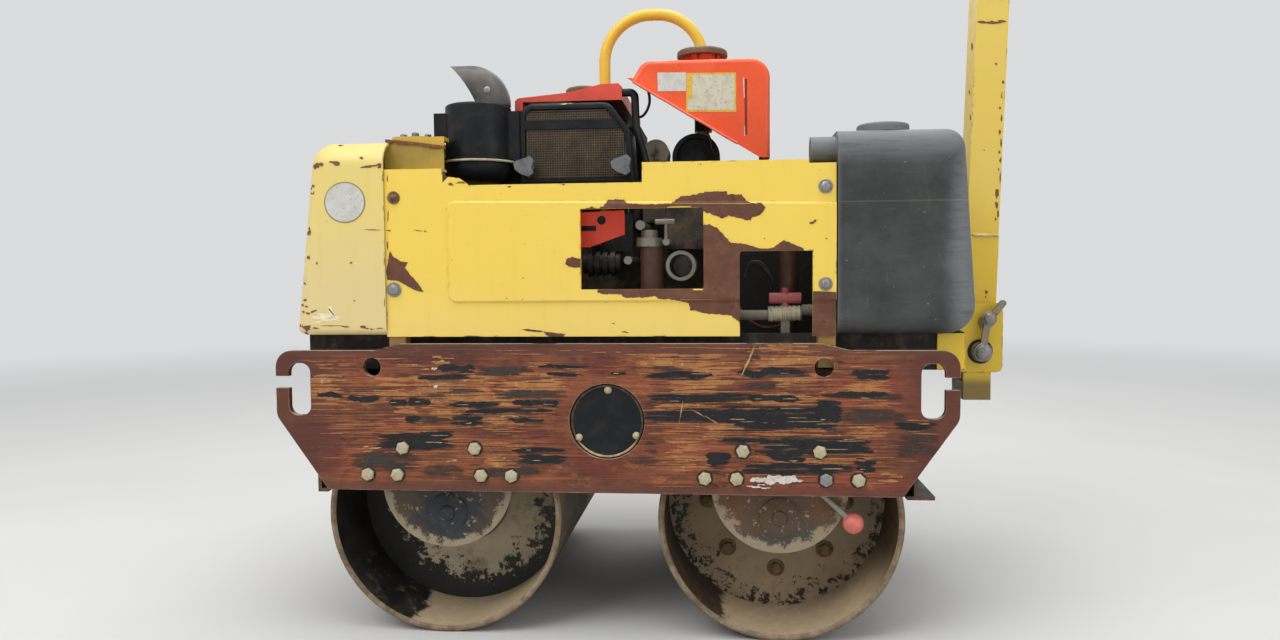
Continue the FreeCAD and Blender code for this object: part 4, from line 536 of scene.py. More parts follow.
def flange_paint(name, centre_x, middle, border, low):
    """Round flange of a bearing carrier: oily paint in its middle, rust towards its border, mud below, cream specks."""
    flange = Finish(name)
    across, rise, radius = about_axle(flange, centre_x)
    grain = flange.noise(20.0, 6, 0.7, seed=2)
    stray = flange.math("MULTIPLY", flange.math("SUBTRACT", grain, 0.5), 0.14)
    colour = flange.mix(flange.ramp(flange.math("ADD", radius, stray), 0.035, 0.075), middle, border)
    colour = flange.mix(flange.ramp(flange.math("ADD", rise, stray), -0.010, -0.050), colour, low)
    cloud = flange.ramp(flange.noise(44.0, 6, 0.72, seed=4), 0.5, 0.68, 0.0, 0.6)
    colour = flange.mix(cloud, colour, srgb(70, 62, 52))
    low_part = flange.math("SUBTRACT", flange.z, FLANGE_Z * MM)
    square = flange.math("ADD", flange.multiply(across, across), flange.multiply(low_part, low_part))
    border_mud = flange.math("ADD", flange.math("SQRT", square), flange.math("MULTIPLY", flange.noise(30.0, 6, 0.75, seed=6), 0.09))
    colour = flange.mix(flange.ramp(border_mud, 0.142, 0.152), colour, srgb(150, 134, 108))
    speck = flange.ramp(flange.noise(100.0, 4, 0.65, seed=8), 0.62, 0.66)
    colour = flange.mix(flange.math("MULTIPLY", speck, 0.75), colour, srgb(166, 150, 122))
    flange.bump(flange.noise(70.0, 5), 1.0)
    return flange.done(colour, flange.ramp(grain, 0.3, 0.7, 0.35, 0.75))


def lever_paint():
    """Release lever: a dull grey rod with a pink-red ball at its end."""
    lever = Finish("lever_paint")
    ball = spot(399, -318, 197)
    away = lever.node("ShaderNodeVectorMath", {0: lever.place, 1: tuple(ball)}, operation="DISTANCE").outputs["Value"]
    grain = lever.noise(60.0, 5, 0.65)
    rod = lever.mix(grain, srgb(112, 108, 100), srgb(160, 154, 144))
    red = lever.mix(lever.ramp(grain, 0.35, 0.7), srgb(218, 124, 110), srgb(198, 96, 84))
    colour = lever.mix(lever.ramp(away, 0.0185, 0.0175), rod, red)
    lever.bump(grain, 0.3)
    return lever.done(colour, lever.ramp(grain, 0.3, 0.7, 0.35, 0.6))


def hub_steel(name, centre_x):
    """Bearing carrier: greasy black over rust, with scattered nicks of bare metal."""
    hub = Finish(name)
    cloud = hub.noise(14.0, 5, 0.65, seed=2)
    colour = hub.mix(hub.ramp(cloud, 0.40, 0.62), srgb(40, 42, 46), srgb(100, 72, 46))
    orange = hub.ramp(hub.noise(22.0, 5, 0.7, seed=4), 0.58, 0.72)
    colour = hub.mix(hub.math("MULTIPLY", orange, 0.8), colour, srgb(142, 92, 46))
    mud = hub.ramp(hub.noise(34.0, 6, 0.7, seed=6), 0.60, 0.70)
    colour = hub.mix(hub.math("MULTIPLY", mud, 0.7), colour, srgb(126, 112, 92))
    nick = hub.ramp(hub.noise(110.0, 3, 0.6, seed=8), 0.70, 0.74)
    colour = hub.mix(hub.math("MULTIPLY", nick, 0.8), colour, srgb(182, 178, 166))
    hub.bump(hub.noise(60.0, 5), 1.0)
    return hub.done(colour, hub.ramp(cloud, 0.3, 0.7, 0.3, 0.7))


def bare_floor():
    """Pale floor near the machine that passes far away into the backdrop's tone."""
    floor = Finish("floor")
    colour = floor.mix(floor.noise(1.5, 3), srgb(198, 197, 194), srgb(206, 205, 202))
    away = floor.node("ShaderNodeVectorMath", {0: floor.place}, operation="LENGTH").outputs["Value"]
    far = floor.ramp(away, 2.2, 7.5)
    shader = floor.node("ShaderNodeBsdfPrincipled", {"Base Color": colour})
    shader.inputs["Roughness"].default_value = 0.85
    shader.inputs["Specular IOR Level"].default_value = 0.2
    glow = floor.node("ShaderNodeEmission")
    glow.inputs["Color"].default_value = BACKDROP
    joined = floor.node("ShaderNodeMixShader", {0: far, 1: shader.outputs[0], 2: glow.outputs[0]})
    floor.node("ShaderNodeOutputMaterial", {0: joined.outputs[0]})
    return floor.material


def build_materials():
    """One material for each slot of the record, and more for single nodes."""
    deep = srgb(238, 204, 84)
    pale = srgb(236, 205, 106)
    cream = srgb(222, 200, 138)
    made = {
        "yellow_hood": yellow_paint("yellow_hood", srgb(226, 203, 118), cream, 0.55, 0.78, chips=0.6),
        "yellow_panel": yellow_paint("yellow_panel", deep, pale, 0.50, 0.62),
        "yellow_frame": yellow_paint("yellow_frame", srgb(206, 168, 58), srgb(150, 118, 62), 0.40, 0.85, dirt=0.8, chips=0.8),
        "yellow_drawbar": yellow_paint(
            "yellow_drawbar", srgb(222, 192, 88), srgb(224, 188, 52), 0.60, 0.80, dirt=0.4, chips=0.8, soiled=0.40),
        "yellow_bail": yellow_paint("yellow_bail", srgb(222, 186, 60), srgb(206, 168, 60), 0.80, 1.0, dirt=0.3, chips=0.5),
        "plate_rust": plate_rust(),
        "black_paint": worn_paint("black_paint", srgb(20, 23, 27), dust=0.10, rust=0.06, rough=0.42, tint=srgb(31, 32, 34), specular=0.2),
        "frame_paint": worn_paint("frame_paint", srgb(38, 33, 28), dust=0.4, rust=0.15, rough=0.75),
        "rubber_black": worn_paint("rubber_black", srgb(30, 30, 31), dust=0.5, rust=0.0, rough=0.75),
        "grey_plastic": grey_tank(),
        "black_plastic": worn_paint("black_plastic", srgb(44, 45, 47), dust=0.5, rust=0.0, rough=0.55),
        "engine_metal": worn_paint("engine_metal", srgb(62, 54, 44), dust=0.5, rust=0.4, rough=0.55, grease=0.7),
        # red_paint and orange_paint: under darkens their downward faces as painted shade
        "red_paint": worn_paint("red_paint", srgb(222, 80, 60), dust=0.2, rust=0.15, rough=0.4, tint=srgb(188, 62, 46), under=0.9),
        "orange_paint": worn_paint(
            "orange_paint", srgb(230, 84, 42), dust=0.12, rust=0.0, rough=0.28, tint=srgb(236, 98, 56), under=0.6),
        "rust_steel": worn_paint("rust_steel", srgb(104, 84, 70), dust=0.4, rust=0.7, rough=0.7),
        "pin_steel": worn_paint("pin_steel", srgb(150, 140, 120), dust=0.3, rust=0.45, rough=0.45, metallic=0.5),
        "red_ball": lever_paint(),
        "drum_steel": drum_steel("drum_steel", FRONT_AXLE, srgb(24, 23, 23), srgb(48, 43, 38), -0.125),
        "drum_steel_rear": drum_steel("drum_steel_rear", REAR_AXLE, srgb(58, 46, 36), srgb(76, 62, 48), -0.080),
        "drum_disc": drum_disc(
            "drum_disc", FRONT_AXLE, srgb(198, 184, 156), srgb(158, 144, 120), 0.118, 0.160, 0.10, 0.92),
        "drum_disc_rear": drum_disc(
            "drum_disc_rear", REAR_AXLE, srgb(168, 148, 120), srgb(132, 114, 90), 0.140, 0.205, 0.06, 0.52),
        "flange_front": flange_paint("flange_front", FRONT_AXLE, srgb(28, 34, 40), srgb(76, 58, 40), srgb(38, 42, 46)),
        "flange_rear": flange_paint("flange_rear", REAR_AXLE, srgb(84, 60, 38), srgb(104, 68, 34), srgb(62, 60, 58)),
        "hub_steel": hub_steel("hub_steel", FRONT_AXLE),
        "hose_black": worn_paint("hose_black", srgb(26, 27, 29), dust=0.2, rust=0.0, rough=0.45, specular=0.3),
        "filter_brown": worn_paint("filter_brown", srgb(84, 56, 44), dust=0.3, rust=0.3, rough=0.45),
        "bright_fitting": worn_paint("bright_fitting", srgb(150, 146, 136), dust=0.3, rust=0.35, rough=0.4, metallic=0.6),
        "primer": mottled("primer", srgb(96, 61, 46), srgb(114, 75, 55), srgb(80, 50, 40), 40.0, 0.66, relief=0.12, specular=0.3),
        "chip": mottled("chip", srgb(112, 70, 48), srgb(136, 90, 58), srgb(82, 52, 38), 120.0, 0.75),
        "scuff": mottled("scuff", srgb(240, 228, 196), srgb(226, 206, 156), None, 90.0, 0.5),
        "sticker_white": mottled("sticker_white", srgb(204, 203, 195), srgb(188, 186, 178), srgb(160, 154, 140), 70.0, 0.4, relief=0.04),
        "sticker_rim": mottled("sticker_rim", srgb(150, 140, 104), srgb(124, 112, 82), None, 90.0, 0.45, relief=0.04),
        "sticker_grey": mottled("sticker_grey", srgb(206, 200, 178), srgb(186, 178, 156), srgb(150, 140, 120), 60.0, 0.4, relief=0.04),
        "sticker_yellow": mottled("sticker_yellow", srgb(226, 178, 58), srgb(206, 160, 60), srgb(150, 110, 60), 80.0, 0.4, relief=0.04),
        "bolt_cream": mottled("bolt_cream", srgb(186, 174, 142), srgb(164, 150, 118), srgb(122, 100, 74), 150.0, 0.5),
        "bolt_grey": mottled("bolt_grey", srgb(150, 146, 142), srgb(122, 118, 114), srgb(92, 82, 74), 150.0, 0.42, 0.5),
        "bolt_rusty": mottled("bolt_rusty", srgb(128, 92, 58), srgb(70, 52, 42), srgb(170, 140, 96), 130.0, 0.6),
        "bolt_mud": mottled("bolt_mud", srgb(112, 92, 66), srgb(84, 64, 46), srgb(136, 120, 96), 90.0, 0.85, relief=0.5),
        # dark ring: painted shadow round the plate bolts' heads, grease round the drawbar's pivot
        "shadow_and_grease_ring": mottled("shadow_and_grease_ring", srgb(30, 26, 25), srgb(56, 40, 34), None, 130.0, 0.55),
        "mesh_brown": mottled("mesh_brown", srgb(98, 84, 66), srgb(76, 66, 54), srgb(120, 104, 82), 30.0, 0.7),
        "lining_brown": mottled("lining_brown", srgb(66, 57, 46), srgb(52, 46, 40), srgb(84, 72, 56), 24.0, 0.8),
        "knob_grey": mottled("knob_grey", srgb(112, 114, 116), srgb(90, 93, 96), srgb(138, 140, 140), 60.0, 0.6),
        "weld_pale": mottled("weld_pale", srgb(226, 204, 140), srgb(196, 164, 92), srgb(150, 110, 70), 90.0, 0.6),
        # dark red is painted shade in the groove; the pale pink below is its painted highlight
        "groove_shade": mottled("groove_shade", srgb(122, 38, 26), srgb(96, 34, 26), None, 60.0, 0.5),
        "groove_highlight": mottled("groove_highlight", srgb(248, 190, 170), srgb(240, 150, 120), None, 60.0, 0.4),
        "wire_red": mottled("wire_red", srgb(104, 44, 40), srgb(70, 34, 32), None, 90.0, 0.5),
        "smear_white": mottled("smear_white", srgb(214, 208, 200), srgb(186, 174, 162), srgb(150, 130, 116), 110.0, 0.6),
        "scratch_ochre": mottled("scratch_ochre", srgb(188, 144, 96), srgb(168, 118, 78), None, 110.0, 0.7),
        "cover_rim": cover_rim(),
        "scraped_ochre": mottled("scraped_ochre", srgb(172, 116, 68), srgb(150, 92, 54), srgb(190, 146, 94), 40.0, 0.7),
        "scraped_brown": mottled("scraped_brown", srgb(84, 56, 44), srgb(64, 46, 40), srgb(112, 76, 54), 50.0, 0.65),
        "scraped_black": mottled("scraped_black", srgb(29, 30, 34), srgb(42, 39, 39), srgb(62, 54, 48), 45.0, 0.55, specular=0.25),
        "scraped_pale": mottled("scraped_pale", srgb(178, 150, 118), srgb(156, 126, 96), None, 80.0, 0.65),
        "scraped_smoke": mottled("scraped_smoke", srgb(54, 46, 42), srgb(74, 56, 46), srgb(98, 66, 48), 50.0, 0.65),
        "red_bracket": worn_paint("red_bracket", srgb(206, 60, 36), dust=0.15, rust=0.15, rough=0.4, tint=srgb(176, 46, 32)),
        "valve_grey": worn_paint("valve_grey", srgb(104, 101, 92), dust=0.4, rust=0.3, rough=0.55),
        "casting_beige": worn_paint("casting_beige", srgb(140, 132, 112), dust=0.4, rust=0.2, rough=0.55, grease=0.3),
        "valve_pink": worn_paint("valve_pink", srgb(150, 70, 74), dust=0.3, rust=0.1, rough=0.5),
        "tape_cream": mottled("tape_cream", srgb(164, 156, 130), srgb(140, 132, 108), srgb(110, 98, 78), 60.0, 0.75, relief=0.3),
        # darker olive yellow: painted shade on the recessed wall under the oil tank's ledge
        "shaded_yellow_wall": mottled("shaded_yellow_wall", srgb(170, 144, 58), srgb(146, 122, 52), srgb(118, 96, 50), 14.0, 0.5),
        "lip_rust": mottled("lip_rust", srgb(104, 66, 44), srgb(132, 84, 54), srgb(150, 116, 58), 90.0, 0.75, relief=0.5),
        # near-black: painted shade for the gaps between the engine's parts
        "shade_black": mottled("shade_black", srgb(22, 21, 20), srgb(34, 30, 27), srgb(48, 42, 36), 26.0, 0.8),
        # pale salmon: painted highlight on the fuel tank's seam
        "seam_highlight": mottled("seam_highlight", srgb(240, 124, 98), srgb(228, 100, 74), None, 60.0, 0.35),
        "deflector_grey": worn_paint("deflector_grey", srgb(88, 85, 83), dust=0.25, rust=0.25, rough=0.45, specular=0.3),
    }
    return made


SPECIAL = {
    "drum_rear_shell": "drum_steel_rear", "drum_rear_discs": "drum_disc_rear", "lifting_bail": "yellow_bail",
    "grey_casting": "casting_beige", "valve_handle": "valve_pink", "water_tank_cap": "grey_plastic",
    "throttle_bracket": "red_bracket", "water_valve": "valve_grey",
}
MATERIALS = build_materials()


def dress_frame():
    """Each CAD node gets the material of its slot."""
    slots = {part["node"]: part["material_slot"] for part in frame["record"]["subparts"]}
    for name, node in frame["nodes"].items():
        node.data.materials.clear()
        node.data.materials.append(MATERIALS[SPECIAL.get(name, slots[name])])
        for face in node.data.polygons:
            face.material_index = 0


def build_stage():
    """Pale floor, soft studio light and a pale surround."""
    world = bpy.data.worlds.new("studio")
    bpy.context.scene.world = world
    world.use_nodes = True
    tree = world.node_tree
    tree.nodes.clear()
    path = tree.nodes.new("ShaderNodeLightPath")
    seen = tree.nodes.new("ShaderNodeMath")
    seen.operation = "MAXIMUM"
    tree.links.new(path.outputs["Is Camera Ray"], seen.inputs[0])
    tree.links.new(path.outputs["Is Transmission Ray"], seen.inputs[1])
    backdrop = tree.nodes.new("ShaderNodeBackground")
    backdrop.inputs[0].default_value = BACKDROP
    fill = tree.nodes.new("ShaderNodeBackground")
    fill.inputs[0].default_value = (0.93, 0.96, 1.0, 1.0)
    fill.inputs[1].default_value = 0.60
    choose = tree.nodes.new("ShaderNodeMixShader")
    output = tree.nodes.new("ShaderNodeOutputWorld")
    tree.links.new(seen.outputs[0], choose.inputs[0])
    tree.links.new(fill.outputs[0], choose.inputs[1])
    tree.links.new(backdrop.outputs[0], choose.inputs[2])
    tree.links.new(choose.outputs[0], output.inputs[0])

    mesh = bpy.data.meshes.new("floor")
    form = bmesh.new()
    bmesh.ops.create_circle(form, cap_ends=True, segments=64, radius=30.0)
    form.to_mesh(mesh)
    form.free()
    floor = bpy.data.objects.new("floor", mesh)
    bpy.context.scene.collection.objects.link(floor)
    mesh.materials.append(bare_floor())

    target = Vector((MIDDLE, 0.0, 0.55))
    for name, place, size, power in (
        ("key", (-2.4, -3.0, 4.2), 3.0, 116.0),
        ("fill", (3.4, -3.0, 2.4), 3.0, 34.0),
        ("above", (0.2, -0.4, 4.8), 3.5, 130.0),
        ("back", (0.5, 3.8, 3.6), 3.0, 50.0),
    ):
        lamp = bpy.data.lights.new(name, "AREA")
        lamp.size = size
        lamp.energy = power
        holder = bpy.data.objects.new(name, lamp)
        holder.location = place
        holder.rotation_euler = (target - Vector(place)).to_track_quat("-Z", "Y").to_euler()
        bpy.context.scene.collection.objects.link(holder)


def build_camera():
    """The photograph's viewpoint, solved from the machine's known forms."""
    data = bpy.data.cameras.new("camera")
    data.sensor_width = SENSOR
    data.lens = LENS
    camera = bpy.data.objects.new("camera", data)
    turn = Matrix((RIGHT, RISE, -AHEAD)).transposed()
    camera.matrix_world = Matrix.Translation(EYE) @ turn.to_4x4()
    bpy.context.scene.collection.objects.link(camera)
    bpy.context.scene.camera = camera


# mesh tools


def basis_of(axis):
    """A turn that brings +Z onto an axis."""
    return Vector(axis).to_track_quat("Z", "Y").to_matrix()


def turned(form, centre, axis, rings, sides=28, twist=0.0):
    """A closed turned or many-sided solid. Its rings are (radius, height along the axis) in millimetres."""
    basis = basis_of(axis)
    loops = []
    for radius, height in rings:
        loop = []
        for index in range(sides):
            angle = twist + math.tau * index / sides
            local = Vector((radius * math.cos(angle), radius * math.sin(angle), height)) * MM
            loop.append(form.verts.new(centre + basis @ local))
        loops.append(loop)
    form.faces.new(list(reversed(loops[0])))
    for low, high in zip(loops, loops[1:]):
        for index in range(sides):
            after = (index + 1) % sides
            form.faces.new((low[index], low[after], high[after], high[index]))
    form.faces.new(loops[-1])


def hex_bolt(form, centre, axis, across, rise, twist=0.0, washer=0.0):
    """A bolt head with a chamfered hexagon, on a washer if that has a radius."""
    base = 0.0
    if washer:
        turned(form, centre, axis, ((washer, -0.6), (washer, 1.2), (washer - 0.8, 1.9)))
        base = 1.9
    turned(form, centre, axis, (
        (across - 0.3, base - 0.5), (across, base + 0.3), (across, base + rise - 1.6), (across - 1.4, base + rise - 0.3),
        (across - 2.4, base + rise),
    ), sides=6, twist=twist)


def dome(form, centre, axis, radius, rise, washer=0.0):
    """A round head, on a washer if that has a radius."""
    base = 0.0
    if washer:
        turned(form, centre, axis, ((washer, -0.6), (washer, 1.3), (washer - 0.9, 2.1)))
        base = 2.1
    steps = 5
    rings = [(radius, base - 0.8)]
    for step in range(steps):
        angle = math.pi / 2 * step / steps
        rings.append((radius * math.cos(angle), base + 0.6 + rise * math.sin(angle)))
    turned(form, centre, axis, rings)


def tube(form, points, radius, sides=10, closed=False):
    """A round bar through points, in metres, its radius in millimetres."""
    count = len(points)
    loops = []
    side = None
    for index, point in enumerate(points):
        before = points[index - 1] if index or closed else points[0]
        after = points[(index + 1) % count] if index + 1 < count or closed else points[-1]
        ahead = (after - before).normalized()
        if side is None:
            side = ahead.orthogonal().normalized()
        side = (side - ahead * side.dot(ahead)).normalized()
        other = ahead.cross(side)
        loop = []
        for turn in range(sides):
            angle = math.tau * turn / sides
            loop.append(form.verts.new(point + (side * math.cos(angle) + other * math.sin(angle)) * radius * MM))
        loops.append(loop)
    pairs = list(zip(loops, loops[1:]))
    if closed:
        pairs.append((loops[-1], loops[0]))
    for low, high in pairs:
        for index in range(sides):
            after = (index + 1) % sides
            form.faces.new((low[index], low[after], high[after], high[index]))
    if not closed:
        form.faces.new(list(reversed(loops[0])))
        form.faces.new(loops[-1])


def smooth_line(places, steps=8):
    """Points on a smooth line through places."""
    line = []
    count = len(places)
    for index in range(count - 1):
        p0 = places[max(index - 1, 0)]
        p1, p2 = places[index], places[index + 1]
        p3 = places[min(index + 2, count - 1)]
        for step in range(steps):
            t = step / steps
            line.append(0.5 * (
                2 * p1 + (p2 - p0) * t + (2 * p0 - 5 * p1 + 4 * p2 - p3) * t ** 2 + (3 * p1 - 3 * p2 + p3 - p0) * t ** 3
            ))
    line.append(places[-1])
    return line


def piece(name, form, material, body="chassis", angle=34.0, closed=True):
    """Makes a mesh piece of the machine that rides on a body."""
    if closed:
        bmesh.ops.recalc_face_normals(form, faces=form.faces)
    mesh = bpy.data.meshes.new(name)
    form.to_mesh(mesh)
    form.free()
    mesh.materials.append(material)
    mesh.shade_smooth()
    mesh.set_sharp_from_angle(angle=math.radians(angle))
    made = bpy.data.objects.new(name, mesh)
    bpy.context.scene.collection.objects.link(made)
    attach(made, body)
    return made


# patches laid on the surface


# The near panel's rust holes in photograph pixels: along them a patch's border stays straight
CALM = ((577.0, 706.5, 209.0, 291.5), (735.0, 814.0, 250.0, 341.0))


def calm(point):
    return any(left <= point.x <= right and top <= point.y <= low for left, right, top, low in CALM)


def ragged(outline, jag, seed, step=1.1):
    """An outline in photograph pixels, cut into short runs whose points stray to both sides."""
    points = []
    for index, corner in enumerate(outline):
        start, end = Vector(corner), Vector(outline[(index + 1) % len(outline)])
        side = end - start
        runs = max(1, round(side.length / step))
        across = Vector((-side.y, side.x)).normalized()
        reach = 0.0 if calm(start) and calm(end) else jag
        for run in range(runs):
            at = start + side * (run / runs)
            stray = noise_tools.fractal(Vector((at.x * 0.45, at.y * 0.45, seed)), 0.6, 2.1, 4)
            points.append(at + across * stray * reach)
    return points


def lay_patch(form, name, outline, lift=0.45, grid=5.0):
    """A thin patch laid on a node's surface inside an outline given in photograph pixels."""
    count = len(outline)
    points = [Vector(point) for point in outline]
    low_x, high_x = min(p.x for p in points), max(p.x for p in points)
    low_y, high_y = min(p.y for p in points), max(p.y for p in points)
    x = low_x + grid
    while x < high_x:
        y = low_y + grid
        while y < high_y:
            points.append(Vector((x, y)))
            y += grid
        x += grid
    border = [(index, (index + 1) % count) for index in range(count)]
    places, _, faces, _, _, _ = delaunay_2d_cdt(points, border, [], 1, 1e-4)
    corners = {}
    for face in faces:
        for index in face:
            if index not in corners:
                place, normal = seen(name, places[index].x, places[index].y)
                corners[index] = place and (form.verts.new(place + normal * lift * MM), normal)
    for face in faces:
        found = [corners[index] for index in face]
        if None in found:
            continue
        (a, normal), (b, _), (c, _) = found
        cross = (b.co - a.co).cross(c.co - a.co)
        if cross.length < 1e-10:
            continue
        order = (a, b, c) if cross.dot(normal) > 0 else (a, c, b)
        try:
            form.faces.new(order)
        except ValueError:
            continue


def blob(px, py, half_x, half_y, seed, tilt=0.0, jag=0.35):
    """A ragged round outline in photograph pixels."""
    points = []
    count = max(10, int(2.2 * (half_x + half_y)))
    turn = math.radians(tilt)
    for index in range(count):
        angle = math.tau * index / count
        stray = noise_tools.fractal(Vector((math.cos(angle) * 1.3, math.sin(angle) * 1.3, seed * 7.7)), 0.5, 2.0, 3)
        reach = 1.0 + jag * stray * 2.2
        x, y = half_x * reach * math.cos(angle), half_y * reach * math.sin(angle)
        points.append((px + x * math.cos(turn) - y * math.sin(turn), py + x * math.sin(turn) + y * math.cos(turn)))
    return points


def disc_outline(px, py, radius, count=56):
    """A round outline in photograph pixels."""
    return [
        (px + radius * math.cos(math.tau * i / count), py + radius * math.sin(math.tau * i / count))
        for i in range(count)
    ]


# Peeled places of the near panel, in photograph pixels. Each is (raggedness, corners).
PEELED = (
    (0.9, (
        (582.2, 211.5), (580.6, 210), (591, 207), (598, 208.5), (603.5, 205.5), (608, 200), (624, 199.5), (627, 203.5),
        (648, 204.5), (671, 203.5), (680, 196.5), (692, 195.5), (705.5, 192), (726.5, 191), (728, 194.5), (741.5, 194),
        (745.5, 200), (752, 203.5), (761, 203), (766, 207.5), (763, 212), (759, 215.5), (753, 217), (750, 221),
        (743, 219), (734.5, 217), (728, 215.5), (723, 218.5), (715.5, 215.5), (710, 213.5), (703.5, 211.5),
        (701.6, 209.9), (640, 210.6),
    )),
    (0.8, (
        (701.4, 225), (710, 224.5), (717, 228), (725.5, 236.5), (731, 243), (743, 243.5), (760, 248.5),
        (772, 248.5), (783.5, 240), (792, 243.3), (803.5, 248.2), (806, 252.6), (741.6, 252.8), (741.4, 323.5),
        (736.5, 320), (731, 315.5), (721, 314.5), (705.5, 313.5), (699, 312), (694.5, 310), (690, 310.5),
        (689, 303.5), (674.5, 299.5), (659, 299), (655.5, 296.5), (643.5, 297.5), (625.5, 297.8), (621, 294.5),
        (603.5, 294), (597, 292), (598, 288.8), (701.4, 288.8),
    )),
    (0.7, ((565, 263.5), (567, 259), (572, 257), (580.5, 259), (582.4, 260), (582.4, 267), (575.5, 267.5), (568, 266))),
    (0.15, ((811.6, 291), (836.2, 292), (836.2, 336.5), (811.6, 336.5))),
    (0.5, (
        (390, 250), (393.8, 257), (400.5, 261.2), (408, 262.5), (405, 267.5), (410, 274.5), (417.5, 282.5),
        (424, 292), (415, 290.5), (406.5, 285.5), (399, 281), (387.5, 280), (386.5, 272), (387.5, 265),
    )),
    (0.5, ((544, 331.5), (556, 333), (566, 333.8), (563, 336.5), (556, 337.2), (549, 336.5), (545, 334))),
    (0.3, ((521, 329.5), (528, 329), (536, 330), (545, 331), (540, 332.2), (528, 331.2))),
)
# Chips and scratches: (px, py, half width, half height, tilt) in photograph pixels
PANEL_CHIPS = (
    (425.6, 231.5, 1.6, 0.9, 0), (418, 230.6, 3.8, 0.45, 6), (388, 230.5, 3.6, 0.5, 4),
    (812.5, 222.5, 3.2, 1.1, -14), (815, 220.5, 1.4, 1.6, 10), (826.6, 238.5, 0.9, 0.8, 0), (764.5, 238.5, 0.7, 0.6, 0),
    (509, 186.5, 1.9, 1.0, 0), (563.5, 184.6, 1.6, 0.8, 0), (450.5, 184.2, 3.0, 1.2, -6), (461, 182.6, 5.4, 0.9, -4),
    (506.5, 298.2, 0.8, 0.7, 0), (523, 278, 0.6, 0.7, 0), (522.5, 299.2, 0.9, 0.6, 0), (613, 323.5, 1.4, 0.7, 0),
    (625, 332, 3.0, 0.6, 0), (698, 153.5, 0.9, 0.6, 0), (387.4, 178, 0.5, 3.0, 0), (388, 216, 0.5, 5.0, 0),
    (387.6, 246, 0.6, 4.0, 0), (386.4, 318, 0.5, 8.0, 0), (639.8, 181, 0.5, 2.6, 0), (700.4, 164.4, 0.8, 0.6, 0),
    (470, 336.4, 9.0, 0.5, 0), (430, 336.6, 6.0, 0.5, 0), (660, 336.2, 8.0, 0.5, 0),
)
HOOD_CHIPS = (
    (306.5, 158.5, 2.0, 4.6, 10), (308.5, 168, 3.6, 2.4, 0), (316, 166, 5.2, 2.0, -14), (322, 164.5, 2.4, 1.6, 20),
    (335, 162.6, 5.0, 2.3, 12), (361.8, 158, 1.7, 1.7, 0), (370, 166.3, 8.2, 1.4, -4), (380, 165.4, 4.0, 2.9, -10),
    (310.2, 188.5, 1.8, 4.9, 14), (309.5, 192.8, 2.6, 1.5, -10), (307.6, 233.2, 2.4, 2.8, 0), (309.5, 228.6, 0.9, 2.2, 0),
    (308.8, 257.4, 1.7, 1.5, 0), (317, 263.5, 0.9, 1.8, -20), (293.6, 269.8, 1.2, 1.5, 0), (305, 283.6, 1.1, 0.9, 0),
    (301.4, 280, 0.9, 0.7, 0), (292, 291.5, 0.8, 0.9, 0), (304.8, 300, 1.5, 1.2, 0), (302.6, 305.2, 1.1, 1.0, 0),
    (306.6, 306.6, 1.7, 1.0, 20), (308, 313.4, 2.2, 1.2, 10), (303.6, 312, 1.4, 0.9, 0), (313.5, 311.4, 3.6, 0.6, -22),
    (330.6, 311, 0.6, 3.6, -38), (299.4, 325.6, 2.4, 1.2, 0), (307, 327.8, 5.0, 2.4, 0), (316, 328.4, 4.4, 1.0, 0),
    (306.4, 333.2, 2.2, 1.4, 10), (345, 326.6, 5.6, 0.8, 4), (364.2, 327.4, 3.4, 1.2, 10), (372, 329, 1.6, 0.6, 0),
    (330, 325.8, 8.0, 0.4, 0), (380, 328.2, 5.0, 0.4, 0), (354.5, 300.8, 1.0, 0.7, 0), (375, 230, 11.0, 0.35, 2),
    (383, 177.5, 0.7, 3.0, 0), (384.6, 302, 0.5, 4.0, 0), (384.4, 262, 0.5, 3.0, 0), (341, 145.6, 2.4, 0.5, 0),
    (351, 263, 1.4, 1.0, 0), (296, 205, 0.4, 3.0, 0), (299.5, 196.5, 4.4, 0.3, 10),
)
HOOD_SCUFFS = (
    (326, 317, 9.0, 3.2, 8), (318.5, 322, 6.0, 1.6, 0), (331, 310, 3.0, 5.0, -30), (355, 264, 2.2, 1.8, 0),
    (336, 318.4, 7.0, 1.6, 0),
)
DRAWBAR_CHIPS = (
    (1001.6, 118, 0.9, 3.0, 0), (999.6, 133, 1.0, 2.2, 0), (1001.2, 143, 0.8, 3.6, 0), (999.2, 152, 0.9, 1.4, 0),
    (1000.6, 160, 1.0, 2.8, 0), (998.4, 170, 0.8, 2.2, 0), (1000.2, 178, 0.7, 4.0, 0), (997.2, 193, 1.9, 4.6, 0),
    (996.6, 205, 1.6, 2.6, 0), (998.2, 214, 1.1, 3.4, 0), (995.8, 219, 0.8, 1.6, 0), (1000, 108, 1.1, 1.6, 0),
    (1001.6, 95, 0.8, 3.2, 0), (1003, 82, 0.9, 2.0, 0), (986.4, 292, 1.2, 2.4, -30), (985.6, 297, 0.8, 1.0, 0),
    (981, 22, 4.6, 1.2, 0), (992, 22.6, 6.6, 1.6, 0), (1001, 21.6, 3.4, 1.8, 0), (970.6, 118, 0.5, 2.4, 0),
    (972, 46, 0.7, 4.0, 0), (969.6, 92, 0.6, 2.4, 0), (996, 64, 0.9, 1.4, 0), (984, 150, 0.7, 0.6, 0),
)


